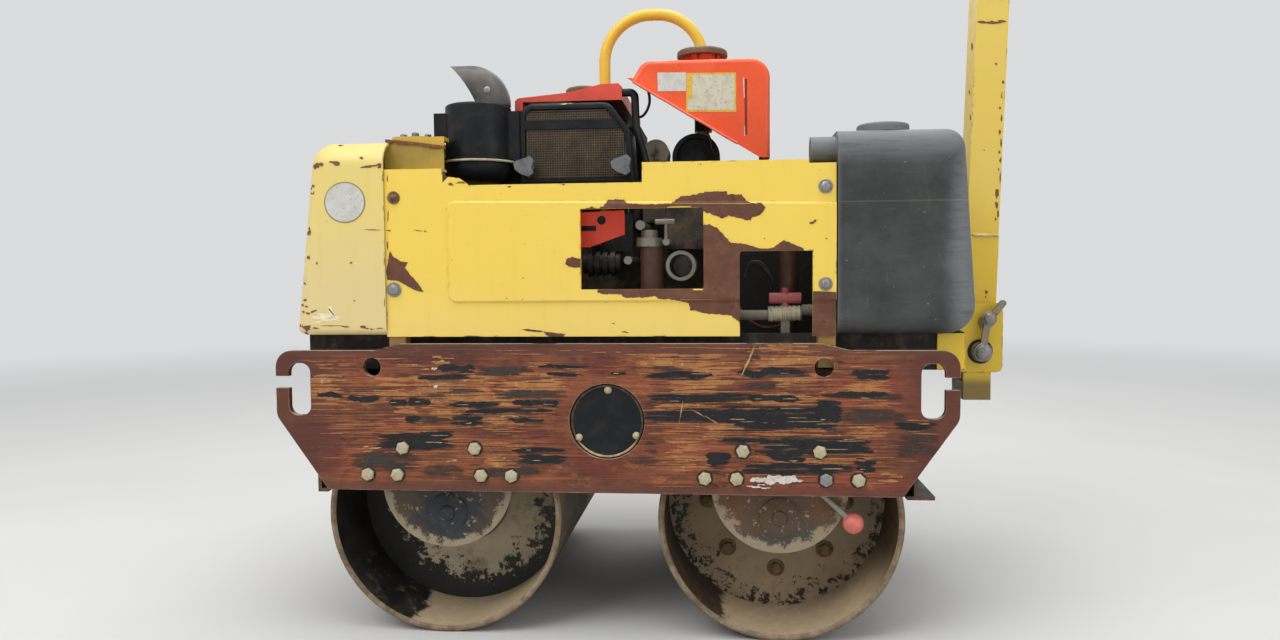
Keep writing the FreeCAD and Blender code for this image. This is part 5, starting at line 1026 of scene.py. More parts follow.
def add_peeling():
    """Places where the yellow paint has come off, down to the brown primer."""
    primer = MATERIALS["primer"]
    form = bmesh.new()
    for index, (jag, corners) in enumerate(PEELED):
        lay_patch(form, "side_panel_near", ragged(corners, jag, index + 0.5), 0.6, 1.7)
    piece("panel_peeling", form, primer, closed=False)
    for name, node, chips, lift in (
        ("panel_chips", "side_panel_near", PANEL_CHIPS, 0.5), ("hood_chips", "front_hood", HOOD_CHIPS, 0.5),
    ):
        form = bmesh.new()
        for index, (px, py, half_x, half_y, tilt) in enumerate(chips):
            lay_patch(form, node, blob(px, py, half_x, half_y, index + 1, tilt), lift, 2.5)
        piece(name, form, MATERIALS["chip"], closed=False)
    form = bmesh.new()
    for index, (px, py, half_x, half_y, tilt) in enumerate(HOOD_SCUFFS):
        lay_patch(form, "front_hood", blob(px, py, half_x, half_y, index + 40, tilt, 0.55), 0.3, 2.5)
    piece("hood_scuffs", form, MATERIALS["scuff"], closed=False)
    form = bmesh.new()
    for index, (px, py, half_x, half_y, tilt) in enumerate(DRAWBAR_CHIPS):
        lay_patch(form, "drawbar_tube" if py < 236 else "drawbar_foot", blob(px, py, half_x, half_y, index + 70, tilt), 0.5, 2.5)
    piece("drawbar_chips", form, MATERIALS["chip"], "drawbar", closed=False)


# Blank stickers: (name, node, outline in photograph pixels, lift, material)
STICKERS = (
    ("hood_sticker_rim", "front_hood", disc_outline(344.8, 202.4, 20.6), 0.5, "sticker_rim"),
    ("hood_sticker", "front_hood", disc_outline(344.8, 202.4, 19.4), 0.8, "sticker_white"),
    ("tank_sticker_small", "fuel_tank", ((657.4, 72.6), (686, 72.4), (686.2, 91), (657.8, 91.4)), 0.5, "sticker_white"),
    ("tank_sticker_border", "fuel_tank", ((686.4, 73), (736.2, 72.4), (736.2, 112), (686, 112)), 0.5, "sticker_yellow"),
    ("tank_sticker", "fuel_tank", ((692.4, 75), (734.6, 74.4), (734.6, 110), (687.8, 110), (687.8, 99), (692.2, 98)),
     0.8, "sticker_grey"),
)


def add_stickers():
    """Bare stickers, worn and without any marks."""
    for name, node, outline, lift, finish in STICKERS:
        form = bmesh.new()
        lay_patch(form, node, ragged(outline, 0.12, 3.3, 2.0), lift, 6.0)
        piece(name, form, MATERIALS[finish], closed=False)


# bolts, screws and fittings

# Six bolts a bearing carrier, as (along from the drum's axis, height) in millimetres
CARRIER_BOLTS = ((-61, 319), (61, 319), (-122, 274), (-71, 274), (71, 274), (122, 274))
# Screws of a round cover: the angle round it and the distance from its middle, as the photograph shows
COVER_SCREWS = ((88, 51), (-26, 53), (-150, 54))
DISC_BOLT_R = 121.0
DISC_BOLTS = 8


def add_plate_bolts():
    """Hexagon bolts that hold the bearing carriers, each on a dark ring that is painted shadow round its head."""
    heads, rings, odd = bmesh.new(), bmesh.new(), bmesh.new()
    chance = random.Random(4)
    for side, node in ((-1, "side_plate_near"), (1, "side_plate_far")):
        axis = NEAR if side < 0 else FAR
        for axle in (FRONT_AXLE, REAR_AXLE):
            for along, height in CARRIER_BOLTS:
                x = (axle - MIDDLE) / MM + along
                place = seat(node, x, height, side)
                is_odd = side < 0 and axle == REAR_AXLE and along == 71
                # the dark ring round each head is painted shadow
                turned(rings, place, axis, ((13.6, -0.3), (13.2, 0.5), (12.4, 0.9)), sides=26)
                hex_bolt(odd if is_odd else heads, place + axis * 0.7 * MM, axis, 10.9, 7.0, chance.random())
    piece("plate_bolts", heads, MATERIALS["bolt_cream"])
    piece("plate_bolt_grey", odd, MATERIALS["bolt_grey"])
    piece("plate_bolt_rings", rings, MATERIALS["shadow_and_grease_ring"])


def add_cover_trim():
    """The rim round each round cover, with its painted shade and highlight, and its three screws."""
    rims, screws = bmesh.new(), bmesh.new()
    for side in (-1, 1):
        axis = NEAR if side < 0 else FAR
        face = seat("round_covers", *COVER_PLACE, side)
        for angle, reach in COVER_SCREWS:
            turn = math.radians(angle)
            x, z = COVER_PLACE[0] + reach * math.cos(turn), COVER_PLACE[1] + reach * math.sin(turn)
            place = spot(x, 0, z)
            place.y = face.y
            dome(screws, place, axis, 4.6, 2.2, 6.0)
        ring = []
        for step in range(72):
            angle = math.tau * step / 72
            place = spot(COVER_PLACE[0] + COVER_R * math.cos(angle), 0, COVER_PLACE[1] + COVER_R * math.sin(angle))
            place.y = face.y + side * 0.4 * MM
            ring.append(place)
        tube(rims, ring, 1.9, 8, closed=True)
    piece("cover_rims", rims, MATERIALS["cover_rim"])
    piece("cover_screws", screws, MATERIALS["bolt_cream"])


def add_panel_bolts():
    """Dome bolts on washers that hold the side panels: near ones as the photograph shows, far ones like them."""
    silver, rusty = bmesh.new(), bmesh.new()
    for px, py, washer, head, target in (
        (394.2, 289.6, 12.4, 9.0, silver), (825.6, 186.2, 11.4, 8.2, silver), (825.6, 283.8, 11.0, 7.6, silver),
        (393.6, 197.8, 10.6, 6.2, rusty),
    ):
        place, _ = seen("side_panel_near", px, py)
        dome(target, place, NEAR, head, 4.0, washer)
        across = place.x
        far = tree_of("side_panel_far").ray_cast(Vector((across, 0.9, place.z)), Vector((0, -1, 0)))[0]
        dome(silver, far, FAR, head, 4.0, washer)
    piece("panel_bolts", silver, MATERIALS["bolt_grey"])
    piece("panel_bolt_rusty", rusty, MATERIALS["bolt_rusty"])


def add_disc_bolts():
    """Mud-caked bosses with bolt heads on the drum discs. Those of the near front disc are filled flat with mud."""
    for body, axle, node in (("drum_front", FRONT_AXLE, "drum_front_discs"), ("drum_rear", REAR_AXLE, "drum_rear_discs")):
        bolts, plugs = bmesh.new(), bmesh.new()
        chance = random.Random(11 if body == "drum_front" else 5)
        for side in (-1, 1):
            axis = NEAR if side < 0 else FAR
            for index in range(DISC_BOLTS):
                angle = math.tau * index / DISC_BOLTS
                x = (axle - MIDDLE) / MM + DISC_BOLT_R * math.cos(angle)
                z = DRUM_R / MM + DISC_BOLT_R * math.sin(angle)
                place = seat(node, x + 9.5, z, side)
                place.x -= 9.5 * MM
                if body == "drum_front" and side < 0:
                    turned(plugs, place, axis, ((12.5, -1.0), (12.5, 0.5), (10.5, 1.1)), sides=26)
                    continue
                turned(bolts, place, axis, ((16.0, -0.8), (15.4, 1.0), (12.6, 2.4)), sides=26)
                hex_bolt(bolts, place + axis * 2.0 * MM, axis, 10.6, 8.0, chance.random() * 1.04)
        piece(body + "_disc_bolts", bolts, MATERIALS["bolt_mud"], body)
        if body == "drum_front":
            piece("drum_front_mud_plugs", plugs, MATERIALS["drum_disc"], body)
        else:
            plugs.free()


# Round flanges in front of the bearing carriers, in millimetres
FLANGE_R = 113.0
FLANGE_TOP = 257.0


def add_flanges():
    """Round bearing flanges on the carriers, cut level under the rubber mounts, with a boss in their middle."""
    for word, axle in (("front", FRONT_AXLE), ("rear", REAR_AXLE)):
        form = bmesh.new()
        middle = (axle - MIDDLE) / MM
        start = math.asin((FLANGE_TOP - FLANGE_Z) / FLANGE_R)
        outline = []
        for step in range(57):
            angle = start - (math.pi + 2 * start) * step / 56
            outline.append((middle + FLANGE_R * math.cos(angle), FLANGE_Z + FLANGE_R * math.sin(angle)))
        for side in (-1, 1):
            low, high = sorted((side * 300.5, side * 304.5))
            plate(form, outline, low, high)
            centre = spot(middle, side * 303.5, 200)
            turned(form, centre, NEAR if side < 0 else FAR, ((34, 0), (34, 2.5), (31, 4), (13, 4.4), (11.5, 7), (4, 8)), sides=36)
        piece("carrier_flanges_" + word, form, MATERIALS["flange_" + word])


def lump(form, places, radius, squeeze=(1.0, 1.0, 1.0), seed=1.0, rough=0.12, rings=10, sides=16):
    """A closed rounded lump round a middle, in metres, its surface a little uneven."""
    centre = places
    loops = []
    for ring in range(1, rings):
        theta = math.pi * ring / rings
        loop = []
        for turn in range(sides):
            phi = math.tau * turn / sides
            way = Vector((math.sin(theta) * math.cos(phi), math.sin(theta) * math.sin(phi), math.cos(theta)))
            stray = 1.0 + rough * noise_tools.fractal(way * 1.6 + Vector((seed, seed, seed)), 0.6, 2.0, 3)
            local = way * radius * MM * stray
            loop.append(form.verts.new(centre + Vector((local.x * squeeze[0], local.y * squeeze[1], local.z * squeeze[2]))))
        loops.append(loop)
    top = form.verts.new(centre + Vector((0, 0, radius * MM * squeeze[2])))
    low = form.verts.new(centre - Vector((0, 0, radius * MM * squeeze[2])))
    for index in range(sides):
        after = (index + 1) % sides
        form.faces.new((top, loops[0][index], loops[0][after]))
        form.faces.new((low, loops[-1][after], loops[-1][index]))
    for upper, lower in zip(loops, loops[1:]):
        for index in range(sides):
            after = (index + 1) % sides
            form.faces.new((upper[index], lower[index], lower[after], upper[after]))


def plate(form, outline, low, high):
    """A flat piece with an outline of (x, z) in millimetres as spot() takes them, from one y to another."""
    near = [form.verts.new(spot(x, low, z)) for x, z in outline]
    far = [form.verts.new(spot(x, high, z)) for x, z in outline]
    form.faces.new(near)
    form.faces.new(list(reversed(far)))
    for index in range(len(outline)):
        after = (index + 1) % len(outline)
        form.faces.new((near[after], near[index], far[index], far[after]))


def rounded(form, width, segments=2, angle=30.0):
    """Rounds a form's sharp edges."""
    sharp = [edge for edge in form.edges if len(edge.link_faces) == 2 and edge.calc_face_angle(0.0) > math.radians(angle)]
    bmesh.ops.bevel(form, geom=sharp, offset=width * MM, segments=segments, profile=0.6, affect="EDGES", clamp_overlap=True)


# The muffler's screen and its wire mesh, in millimetres
SCREEN = ((-154, 771), (28, 771), (21, 848), (-10, 890), (-154, 890))
SCREEN_Y = -224.0
WIRE_PITCH = 4.2
WIRE_R = 0.75


def inside_screen(x, z):
    """Whether a place lies inside the screen's outline."""
    count = len(SCREEN)
    for index in range(count):
        (x0, z0), (x1, z1) = SCREEN[index], SCREEN[(index + 1) % count]
        if (x1 - x0) * (z - z0) - (z1 - z0) * (x - x0) < 0.0:
            return False
    return True


def add_screen():
    """Wire mesh over the muffler's recess: wires both ways, each passing over and under its neighbours."""
    form = bmesh.new()
    xs = [x for x, _ in SCREEN]
    zs = [z for _, z in SCREEN]
    for upright in (False, True):
        first, last = (min(xs), max(xs)) if upright else (min(zs), max(zs))
        start, end = (min(zs), max(zs)) if upright else (min(xs), max(xs))
        line = first + WIRE_PITCH
        row = 0
        while line < last - 1:
            run = []
            at = start + 1.5
            while at < end - 1:
                x, z = (line, at) if upright else (at, line)
                if inside_screen(x, z):
                    column = round((at - start) / WIRE_PITCH)
                    weave = 0.7 if (row + column + upright) % 2 else -0.7
                    run.append(spot(x, SCREEN_Y - 2.2 + weave, z))
                at += WIRE_PITCH
            if len(run) > 2:
                tube(form, run, WIRE_R, 4)
            line += WIRE_PITCH
            row += 1
    piece("muffler_mesh", form, MATERIALS["mesh_brown"], angle=80.0)
    form = bmesh.new()
    plate(form, [(x * 0.985 - 1.0, 830 + (z - 830) * 0.97) for x, z in SCREEN], SCREEN_Y - 0.6, SCREEN_Y + 0.6)
    piece("muffler_lining", form, MATERIALS["lining_brown"])
    form = bmesh.new()
    # a pale spot on the top of the muffler box's frame
    lay_patch(form, "muffler_box", blob(565, 103.2, 5.0, 1.5, 7.0, 0, 0.5), 0.4, 2.5)
    piece("muffler_pale_spot", form, MATERIALS["weld_pale"], closed=False)


def add_knobs():
    """Grey wing knobs that hold the muffler's cover."""
    form = bmesh.new()
    for index, (x, z) in enumerate(((-152, 792), (17, 792))):
        centre = spot(x, -232, z)
        turned(form, centre, NEAR, ((13.5, 0), (14.5, 2), (14.5, 7), (12.5, 10), (7, 11.5)), sides=24)
        wing = bmesh.new()
        plate(wing, (
            (x - 19, z + 4), (x - 17, z - 5), (x - 7, z - 13), (x + 7, z - 18), (x + 15, z - 12), (x + 12, z - 2),
            (x + 16, z + 10), (x + 9, z + 17), (x - 2, z + 13), (x - 13, z + 10),
        ), -248, -236)
        rounded(wing, 3.2, 3)
        mesh = bpy.data.meshes.new("wing")
        wing.to_mesh(mesh)
        wing.free()
        form.from_mesh(mesh)
        bpy.data.meshes.remove(mesh)
    piece("muffler_knobs", form, MATERIALS["knob_grey"], angle=50.0)


def add_muffler_trim():
    """Upper band of the screen's frame, its badge left bare, and the dark dome on the red plate."""
    form = bmesh.new()
    plate(form, ((-154, 857), (14, 857), (4, 872), (-154, 872)), -229.5, -223)
    rounded(form, 1.2)
    piece("muffler_band", form, MATERIALS["black_paint"])
    form = bmesh.new()
    centre = spot(-60, -155, 933)
    turned(form, centre, (0, 0, 1), ((33, -8), (33, 3), (30, 6), (21, 8.5), (8, 9.5)), sides=40)
    piece("head_cap", form, MATERIALS["rust_steel"])


def add_ledge_bolts():
    """Bolts on the oil tank's pad."""
    form = bmesh.new()
    for index, (x, y) in enumerate(((-383, -196), (-356, -212), (-340, -190))):
        place = spot(x, y, 849.7)
        turned(form, place, (0, 0, 1), ((8.2, 0), (8.2, 1.6), (7.4, 2.2)), sides=20)
        hex_bolt(form, place + Vector((0, 0, 2.0 * MM)), (0, 0, 1), 6.6, 7.5, index * 0.4)
    piece("pad_bolts", form, MATERIALS["bolt_grey"])


def add_pivot_trim():
    """Greasy ring and pale head of the drawbar's pivot, a head on the latch, and the weld where tube meets foot."""
    stain, heads = bmesh.new(), bmesh.new()
    ear = seat("drawbar_bracket", 640, 454, -1)
    centre = spot(669, 0, 454)
    centre.y = ear.y
    turned(stain, centre, NEAR, ((23.5, -0.3), (23.2, 0.7), (19.0, 1.2)), sides=36)
    piece("pivot_stain", stain, MATERIALS["shadow_and_grease_ring"])
    for x, z, radius, rise in ((669, 454, 14.5, 6.0), (679.5, 516.5, 11.0, 4.5)):
        place = seat("latch_pin", x, z, -1) or seat("pivot_pin", x, z, -1)
        dome(heads, place, NEAR, radius, rise, radius + 2.5)
    piece("pivot_heads", heads, MATERIALS["bolt_grey"])
    form = bmesh.new()
    chance = random.Random(8)
    line = []
    for step in range(26):
        px = 973.5 + 24.5 * step / 25
        node = "drawbar_tube" if tree_of("drawbar_tube").ray_cast(EYE, sight(px, 235))[0] else "drawbar_foot"
        place, normal = seen(node, px, 235)
        line.append(place + Vector((0, -0.3 * MM, chance.uniform(-1.0, 1.0) * MM)))
    tube(form, line, 3.0, 8)
    piece("drawbar_weld", form, MATERIALS["weld_pale"], "drawbar", angle=60.0)


# Where the tray's sides end and its rear corners fold in, and how far they reach inwards, in millimetres
TRAY_FOLD = 577.0
TRAY_FOLD_IN = 150.0
TRAY_WALL = 6.0


def add_tray():
    """Frame tray whose rear corners fold in, so that the drawbar's pivot stands clear as the photograph shows."""
    low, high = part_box("frame_tray")
    form = bmesh.new()
    loops = []
    for inset, z in ((0.0, low.z), (0.0, high.z), (TRAY_WALL, high.z), (TRAY_WALL, low.z + TRAY_WALL * MM)):
        away = inset * MM
        fold, inner = spot(TRAY_FOLD, 0, 0).x - away, high.y - TRAY_FOLD_IN * MM
        outline = (
            (low.x + away, low.y + away), (fold, low.y + away), (high.x - away, -inner), (high.x - away, inner),
            (fold, high.y - away), (low.x + away, high.y - away),
        )
        loops.append([form.verts.new((x, y, z)) for x, y in outline])
    form.faces.new(list(reversed(loops[0])))
    form.faces.new(loops[-1])
    for lower, upper in zip(loops, loops[1:]):
        for index in range(6):
            after = (index + 1) % 6
            form.faces.new((lower[index], lower[after], upper[after], upper[index]))
    rounded(form, 1.2)
    # dark frame paint on the tray is painted shade: the tray is yellow but lies in shadow under the hood
    made = piece("folded_tray", form, MATERIALS["frame_paint"])
    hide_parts("frame_tray")


def add_cheeks():
    """Yellow gussets of the drawbar's bracket over the rear ends of the frame tray's sides."""
    form = bmesh.new()
    outline = ((533, 447), (TRAY_FOLD, 447), (TRAY_FOLD, 505.5), (533, 505.5))
    for low, high in ((-303.5, -300.2), (300.2, 303.5)):
        plate(form, outline, low, high)
    rounded(form, 1.2, 2)
    piece("bracket_cheeks", form, MATERIALS["yellow_drawbar"])


def add_shade_sheets():
    """Near-black sheets of painted shade that close the view between the engine's parts: beside the muffler, behind it
    and behind the valve.
    """
    form = bmesh.new()
    for x0, x1, y0, y1, z0, z1 in (
        (-206, -163, -200, -196, 752, 806), (13, 36, -88, 60, 700, 880), (196, 352, -158, -154, 453, 740),
        (-52, 30, -193, -189, 645, 712),
    ):
        plate(form, ((x0, z0), (x1, z0), (x1, z1), (x0, z1)), y0, y1)
    rounded(form, 1.0, 2)
    piece("shade_sheets", form, MATERIALS["shade_black"])


def add_pipe_wrap():
    """Cream tape wound round the water pipe under the valve's handle."""
    form = bmesh.new()
    left, right = on_plane(768.5, 314.5, -297), on_plane(800.5, 313, -297)
    low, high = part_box("water_valve")
    face = tree_of("water_valve").ray_cast(Vector((left.x + 0.02, -0.9, left.z)), FAR)[0]
    line = []
    count = 15
    for step in range(count):
        at = left.lerp(right, step / (count - 1))
        line.append(Vector((at.x, face.y + 10.0 * MM, at.z)))
    chance = random.Random(17)
    for index in range(count - 1):
        swell = 11.6 + (0.9 if index % 2 else 0.0) + chance.uniform(0, 0.5)
        turned(form, line[index], (1, 0, 0), ((swell - 0.8, 0), (swell, 0.8), (swell, 3.2), (swell - 0.8, 4.2)), sides=24)
    piece("pipe_wrap", form, MATERIALS["tape_cream"], angle=60.0)


def add_ledge_wall():
    """Yellow wall under the oil tank's ledge, painted a darker olive as its shade, and the torn rusty lip along its
    top.
    """
    form = bmesh.new()
    crest = ((-380, 824), (-372, 829), (-357, 829.5), (-340, 826), (-322, 824.5), (-300, 821), (-277, 817.5))
    plate(form, ((-380, 777), (-277, 777), *reversed(crest)), -301.5, -298.5)
    piece("ledge_wall", form, MATERIALS["shaded_yellow_wall"])
    form = bmesh.new()
    upper, lower = [], []
    for step in range(46):
        part = step / 45
        x = -377 + 103 * part
        z = 834.5 - 13.0 * part ** 1.2
        stray = noise_tools.fractal(Vector((x * 0.09, 3.0, 8.0)), 0.6, 2.1, 4)
        upper.append((x, z))
        lower.append((x, z - 5.2 - 3.4 * stray))
    plate(form, upper + list(reversed(lower)), -304.5, -299.5)
    piece("ledge_lip", form, MATERIALS["lip_rust"], angle=50.0)


def add_cleaner_trim():
    """Thin metal clamp round the air cleaner, and the rivet in the intake scoop."""
    form = bmesh.new()
    middle = spot(-238.5, -215, 801)
    front = seat("air_cleaner", -238.5, 803, -1)
    radius = (middle.y - front.y) + 0.6 * MM
    ring = []
    for step in range(64):
        angle = math.tau * step / 64
        ring.append(middle + Vector((radius * math.cos(angle), radius * math.sin(angle), 0)))
    tube(form, ring, 2.1, 8, closed=True)
    piece("cleaner_clamp", form, MATERIALS["bolt_cream"], angle=60.0)
    form = bmesh.new()
    place, normal = seen("intake_deflector", 483.5, 90)
    hole, _ = seen("intake_deflector", 490.5, 90)
    dome(form, (place + hole) / 2, normal, 6.2, 2.6)
    piece("scoop_rivet", form, MATERIALS["bolt_grey"])


# How much the fuel tank's underside rises towards its far side
FUEL_RISE = 0.165


def fuel_edge(px):
    """Where the fuel tank's near side ends below, in a column of the photograph."""
    found = None
    for py in range(150, 340):
        place, normal, _, _ = tree_of("fuel_tank").ray_cast(EYE, sight(px, py / 2))
        if place is not None and normal.y < -0.7:
            found = place
    return found


def add_fuel_body():
    """Fuel tank whose slanted underside rises to its far side, so that it stays out of sight as in the photograph."""
    form = bmesh.new()
    form.from_mesh(frame["nodes"]["fuel_tank"].data)
    bmesh.ops.remove_doubles(form, verts=form.verts, dist=1e-6)
    left, right = fuel_edge(650), fuel_edge(740)
    below = (right - left).cross(Vector((0.0, 1.0, FUEL_RISE)))
    if below.z > 0.0:
        below.negate()
    parts = form.verts[:] + form.edges[:] + form.faces[:]
    made = bmesh.ops.bisect_plane(form, geom=parts, dist=1e-7, plane_co=left, plane_no=below, clear_outer=True)
    bmesh.ops.edgenet_fill(form, edges=[part for part in made["geom_cut"] if isinstance(part, bmesh.types.BMEdge)])
    made = piece("fuel_body", form, MATERIALS["orange_paint"])
    made.modifiers.new("flat_sides", "WEIGHTED_NORMAL").keep_sharp = True
    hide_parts("fuel_tank")
    form = bmesh.new()
    plate(form, ((256, 803.5), (269, 803.5), (269, 824), (256, 824)), -152, -78)
    rounded(form, 2.0)
    piece("tank_pad", form, MATERIALS["rubber_black"])


def add_fuel_seam():
    """Pressed seam along the fuel tank's slanted lower edge, painted pale salmon as its highlight."""
    form = bmesh.new()
    line = []
    for step in range(30):
        found = fuel_edge(633 + 112 * step / 29)
        if found is not None:
            line.append(found + Vector((0, -0.8 * MM, 0.6 * MM)))
    tube(form, smooth_line(line[::3], 4), 2.4, 8)
    piece("fuel_seam", form, MATERIALS["seam_highlight"], angle=60.0)


def add_tank_trim():
    """Small nub on the water tank."""
    form = bmesh.new()
    turned(form, spot(393, -250, 829), (0, 0, 1), ((6.5, 0), (6.5, 6), (5.0, 9), (2.5, 10)), sides=18)
    piece("tank_nub", form, MATERIALS["black_plastic"])


def add_fuel_groove():
    """The pressed groove near the rear end of the fuel tank's side: a dark red line of painted shade, with painted
    highlights at its upper and lower ends.
    """
    form = bmesh.new()
    lay_patch(form, "fuel_tank", ragged(((744.4, 79), (746.8, 79), (747.2, 135), (745.0, 135)), 0.15, 5.1), 0.4, 6.0)
    piece("fuel_groove", form, MATERIALS["groove_shade"], closed=False)
    form = bmesh.new()
    lay_patch(form, "fuel_tank", ragged(((743.0, 78), (744.3, 78), (744.8, 98), (743.8, 98)), 0.15, 6.1), 0.4, 6.0)
    lay_patch(form, "fuel_tank", ragged(((744.0, 126), (745.0, 126), (745.2, 136), (744.2, 136)), 0.15, 6.3), 0.4, 6.0)
    piece("fuel_groove_highlight", form, MATERIALS["groove_highlight"], closed=False)


def add_small_lines():
    """Thin fuel line, wires and water hose that show through gaps and holes."""
    for name, places, radius, finish, slot in (
        ("fuel_line", ((47, -112, 962), (52, -112, 944), (55, -112, 924), (51, -112, 908), (43, -112, 897), (33, -112, 893), (22, -112, 893)),
         2.6, "hose_black", "hose_black"),
        ("recoil_wire", ((158, -118, 868), (166, -120, 850), (170, -120, 832), (176, -116, 822)), 2.2, "wire_red", "red_paint"),
        ("water_hose", ((224, -262, 600), (232, -268, 618), (247, -270, 622), (262, -268, 610), (272, -262, 592)),
         4.2, "hose_black", "hose_black"),
        ("loose_wire", ((212, -230, 560), (222, -240, 536), (240, -250, 520), (262, -252, 512), (290, -250, 516)),
         2.4, "wire_red", "hose_black"),
    ):
        form = bmesh.new()
        tube(form, smooth_line([spot(*p) for p in places], 7), radius, 10)
        piece(name, form, MATERIALS[finish], angle=60.0)


def streak(px, py, length, thick, seed):
    """Outline of one scraped streak in photograph pixels: long and flat, drawn out at its ends, frayed at its edges."""
    upper, lower = [], []
    blunt = 2.6 + (seed * 7.3) % 6.0
    runs = max(7, round(length / 1.5))
    for run in range(runs + 1):
        part = run / runs
        x = px + (part - 0.5) * length
        taper = min(1.0, 0.12 + blunt * part, 0.12 + blunt * (1 - part)) ** 0.7
        drift = 0.4 * thick * noise_tools.fractal(Vector((x * 0.025, seed, 4.0)), 0.7, 2.0, 3)
        for edge, way, offset in ((upper, -1, 0.0), (lower, 1, 31.0)):
            broad = 0.92 + 0.62 * noise_tools.fractal(Vector((x * 0.06, seed + offset, 1.0)), 0.6, 2.0, 3)
            frayed = 0.22 * noise_tools.fractal(Vector((x * 0.5, seed + offset, 7.0)), 0.6, 2.1, 3)
            edge.append((x, py + drift + way * max(0.05, taper * (0.5 * thick * max(0.12, broad) + frayed))))
    return upper + list(reversed(lower))


def add_streaks(name, streaks, material, lift):
    """Lays streaks on the near plate, each a hair above the one before."""
    form = bmesh.new()
    for index, shape in enumerate(streaks):
        lay_patch(form, "side_plate_near", streak(*shape), lift + index * 0.0004, 60.0)
    piece(name, form, MATERIALS[material], closed=False)


def strewn(places, fill, long, thick, spread, seed):
    """Thin streaks strewn over places: fill is how many for each hundred square pixels, long their share of the width."""
    chance = random.Random(seed)
    found = []
    for place in places:
        left, right, top, low = place[:4]
        wide, tall = right - left, low - top
        for _ in range(max(1, round(fill * wide * tall / 100))):
            length = max(5.0, min(70.0, wide * chance.uniform(*long)))
            px = chance.uniform(left - 3 + length / 2, max(left + 1, right + 3 - length / 2))
            py = (top + low) / 2 + (chance.uniform(-0.5, 0.5) + chance.uniform(-0.15, 0.15)) * tall * spread
            found.append((px, py, length, chance.uniform(*thick), chance.uniform(0, 90)))
    return found


def solid_streaks(places, seed):
    """Broad streaks that fill the places that are scraped clean."""
    chance = random.Random(seed)
    found = []
    for left, right, top, low, solid in places:
        if solid < 0.7:
            continue
        wide, tall = right - left, low - top
        rows = max(1, round(tall / 5.0))
        for row in range(rows):
            py = top + tall * (row + 0.5) / rows
            length = wide * chance.uniform(0.82, 1.04)
            px = (left + right) / 2 + (wide - length) * chance.uniform(-0.5, 0.5)
            found.append((px, py, length, tall / rows * (0.72 + 0.42 * solid), chance.uniform(0, 90)))
    return found


def add_scraping():
    """The near plate's long scrapes: bare ochre, tan and brown lines, black, and a few pale flecks."""
    smoky = [place for place in BLACK_PLACES if place[4] < 0.7]
    clean = [place for place in BLACK_PLACES if place[4] >= 0.7]
    whole = ((300, 560, 348, 432), (300, 560, 395, 470), (645, 900, 346, 432), (645, 915, 420, 478), (560, 650, 346, 378))
    add_streaks("plate_ochre", strewn(OCHRE_PLACES, 3.0, (0.3, 0.9), (0.8, 2.2), 1.1, 21), "scraped_ochre", 0.10)
    add_streaks("plate_lines", strewn(whole, 0.35, (0.05, 0.2), (0.4, 1.0), 1.0, 27), "scraped_ochre", 0.25)
    add_streaks("plate_dark_lines", strewn(whole, 0.45, (0.05, 0.22), (0.4, 1.0), 1.0, 28), "scraped_brown", 0.40)
    add_streaks("plate_tan", strewn(clean, 1.8, (0.25, 0.7), (0.5, 1.1), 1.9, 22), "scraped_ochre", 0.60)
    add_streaks("plate_fringe", strewn(BLACK_PLACES, 2.4, (0.3, 0.8), (0.7, 1.5), 1.15, 23), "scraped_brown", 0.80)
    add_streaks("plate_black", solid_streaks(clean, 24), "scraped_black", 1.05)
    add_streaks("plate_black_lines", strewn(clean, 0.9, (0.2, 0.6), (0.5, 1.1), 1.3, 25), "scraped_black", 1.15)
    add_streaks("plate_smoke", strewn(smoky, 3.4, (0.25, 0.7), (0.6, 1.4), 1.05, 26), "scraped_smoke", 1.35)
    add_streaks("plate_flecks", strewn(clean, 0.22, (0.08, 0.3), (0.4, 0.8), 1.5, 29), "scraped_pale", 1.60)


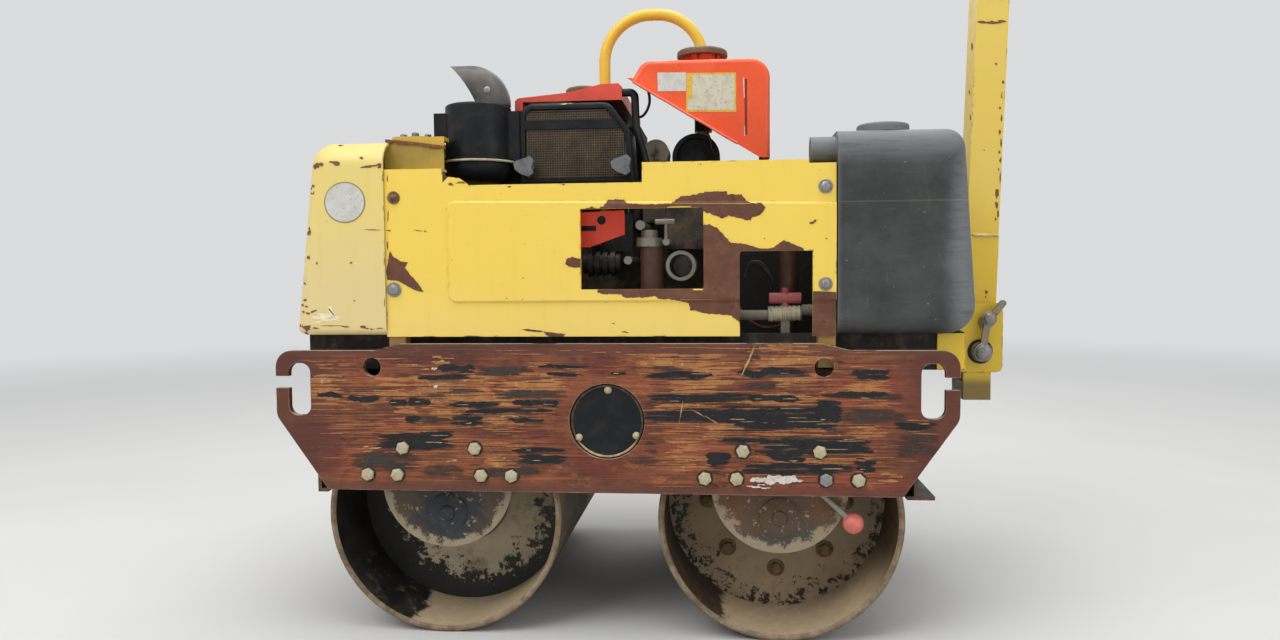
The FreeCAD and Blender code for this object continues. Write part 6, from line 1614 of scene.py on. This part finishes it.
def add_plate_marks():
    """Dots of cream paint and the white smear on the near side plate."""
    form, dull = bmesh.new(), bmesh.new()
    for index, (px, py, half_x, half_y) in enumerate((
        (434, 368.6, 2.0, 1.6), (435.4, 387.4, 1.9, 1.8), (442, 361, 2.6, 1.0), (427, 369, 3.0, 0.5), (415, 365, 3.0, 0.5),
        (445, 383, 2.4, 0.5), (375, 448, 5.0, 0.8), (369, 451, 4.0, 0.8), (386, 452, 3.2, 0.6), (367, 446.5, 2.4, 0.6),
        (470, 423, 3.0, 0.8), (455, 460, 3.0, 0.6), (449, 461.5, 2.2, 0.5), (505, 458, 1.6, 0.8), (496, 457, 2.4, 0.5),
        (462.5, 450.5, 1.2, 0.4), (800, 396, 6.0, 0.6), (790, 398.6, 5.0, 0.5), (786, 393, 7.0, 0.4),
        (765, 341.5, 2.6, 0.8),
    )):
        lay_patch(dull if index > 1 else form, "side_plate_near", blob(px, py, half_x, half_y, index + 200, 0, 0.5), 1.75, 2.5)
    piece("plate_pale_marks", dull, MATERIALS["scraped_pale"], closed=False)
    smear = (
        (750, 478), (757, 476.6), (766, 478), (768, 475.4), (778, 474.6), (787, 476), (795, 475.2), (797, 478.4),
        (804, 480.6), (800, 482.6), (792, 481.6), (784, 484), (776, 482.4), (770, 485), (766, 483), (758, 481.4), (751, 482),
    )
    lay_patch(form, "side_plate_near", ragged(smear, 1.5, 9.4), 1.8, 4.0)
    for index, (px, py, half_x, half_y) in enumerate(((756, 486.6, 5.4, 1.0), (766, 488, 4.0, 0.9), (760, 484.4, 4.2, 0.7))):
        lay_patch(form, "side_plate_near", blob(px, py, half_x, half_y, index + 230, 2, 0.5), 1.85, 2.5)
    piece("plate_white_marks", form, MATERIALS["smear_white"], closed=False)
    form = bmesh.new()
    for index, (px, py, half_x, half_y, tilt) in enumerate((
        (748, 361, 1.0, 17.0, 24), (712, 420, 9.0, 0.5, 34), (700, 414, 7.0, 0.5, 30), (681, 412, 0.6, 9.0, 8),
    )):
        lay_patch(form, "side_plate_near", blob(px, py, half_x, half_y, index + 260, tilt, 0.4), 1.7, 3.0)
    piece("plate_scratches", form, MATERIALS["scratch_ochre"], closed=False)


def add_pieces():
    """Everything that the CAD nodes leave to the scene."""
    add_peeling()
    add_stickers()
    add_plate_bolts()
    add_cover_trim()
    add_panel_bolts()
    add_disc_bolts()
    add_screen()
    add_knobs()
    add_muffler_trim()
    add_ledge_bolts()
    add_pivot_trim()
    add_tank_trim()
    add_fuel_groove()
    add_small_lines()
    add_flanges()
    add_tray()
    add_cheeks()
    add_shade_sheets()
    add_pipe_wrap()
    add_ledge_wall()
    add_cleaner_trim()
    add_fuel_body()
    add_fuel_seam()
    add_scraping()
    add_plate_marks()


dress_frame()
add_pieces()
build_stage()
build_camera()

bpy.context.scene.view_settings.view_transform = "Standard"
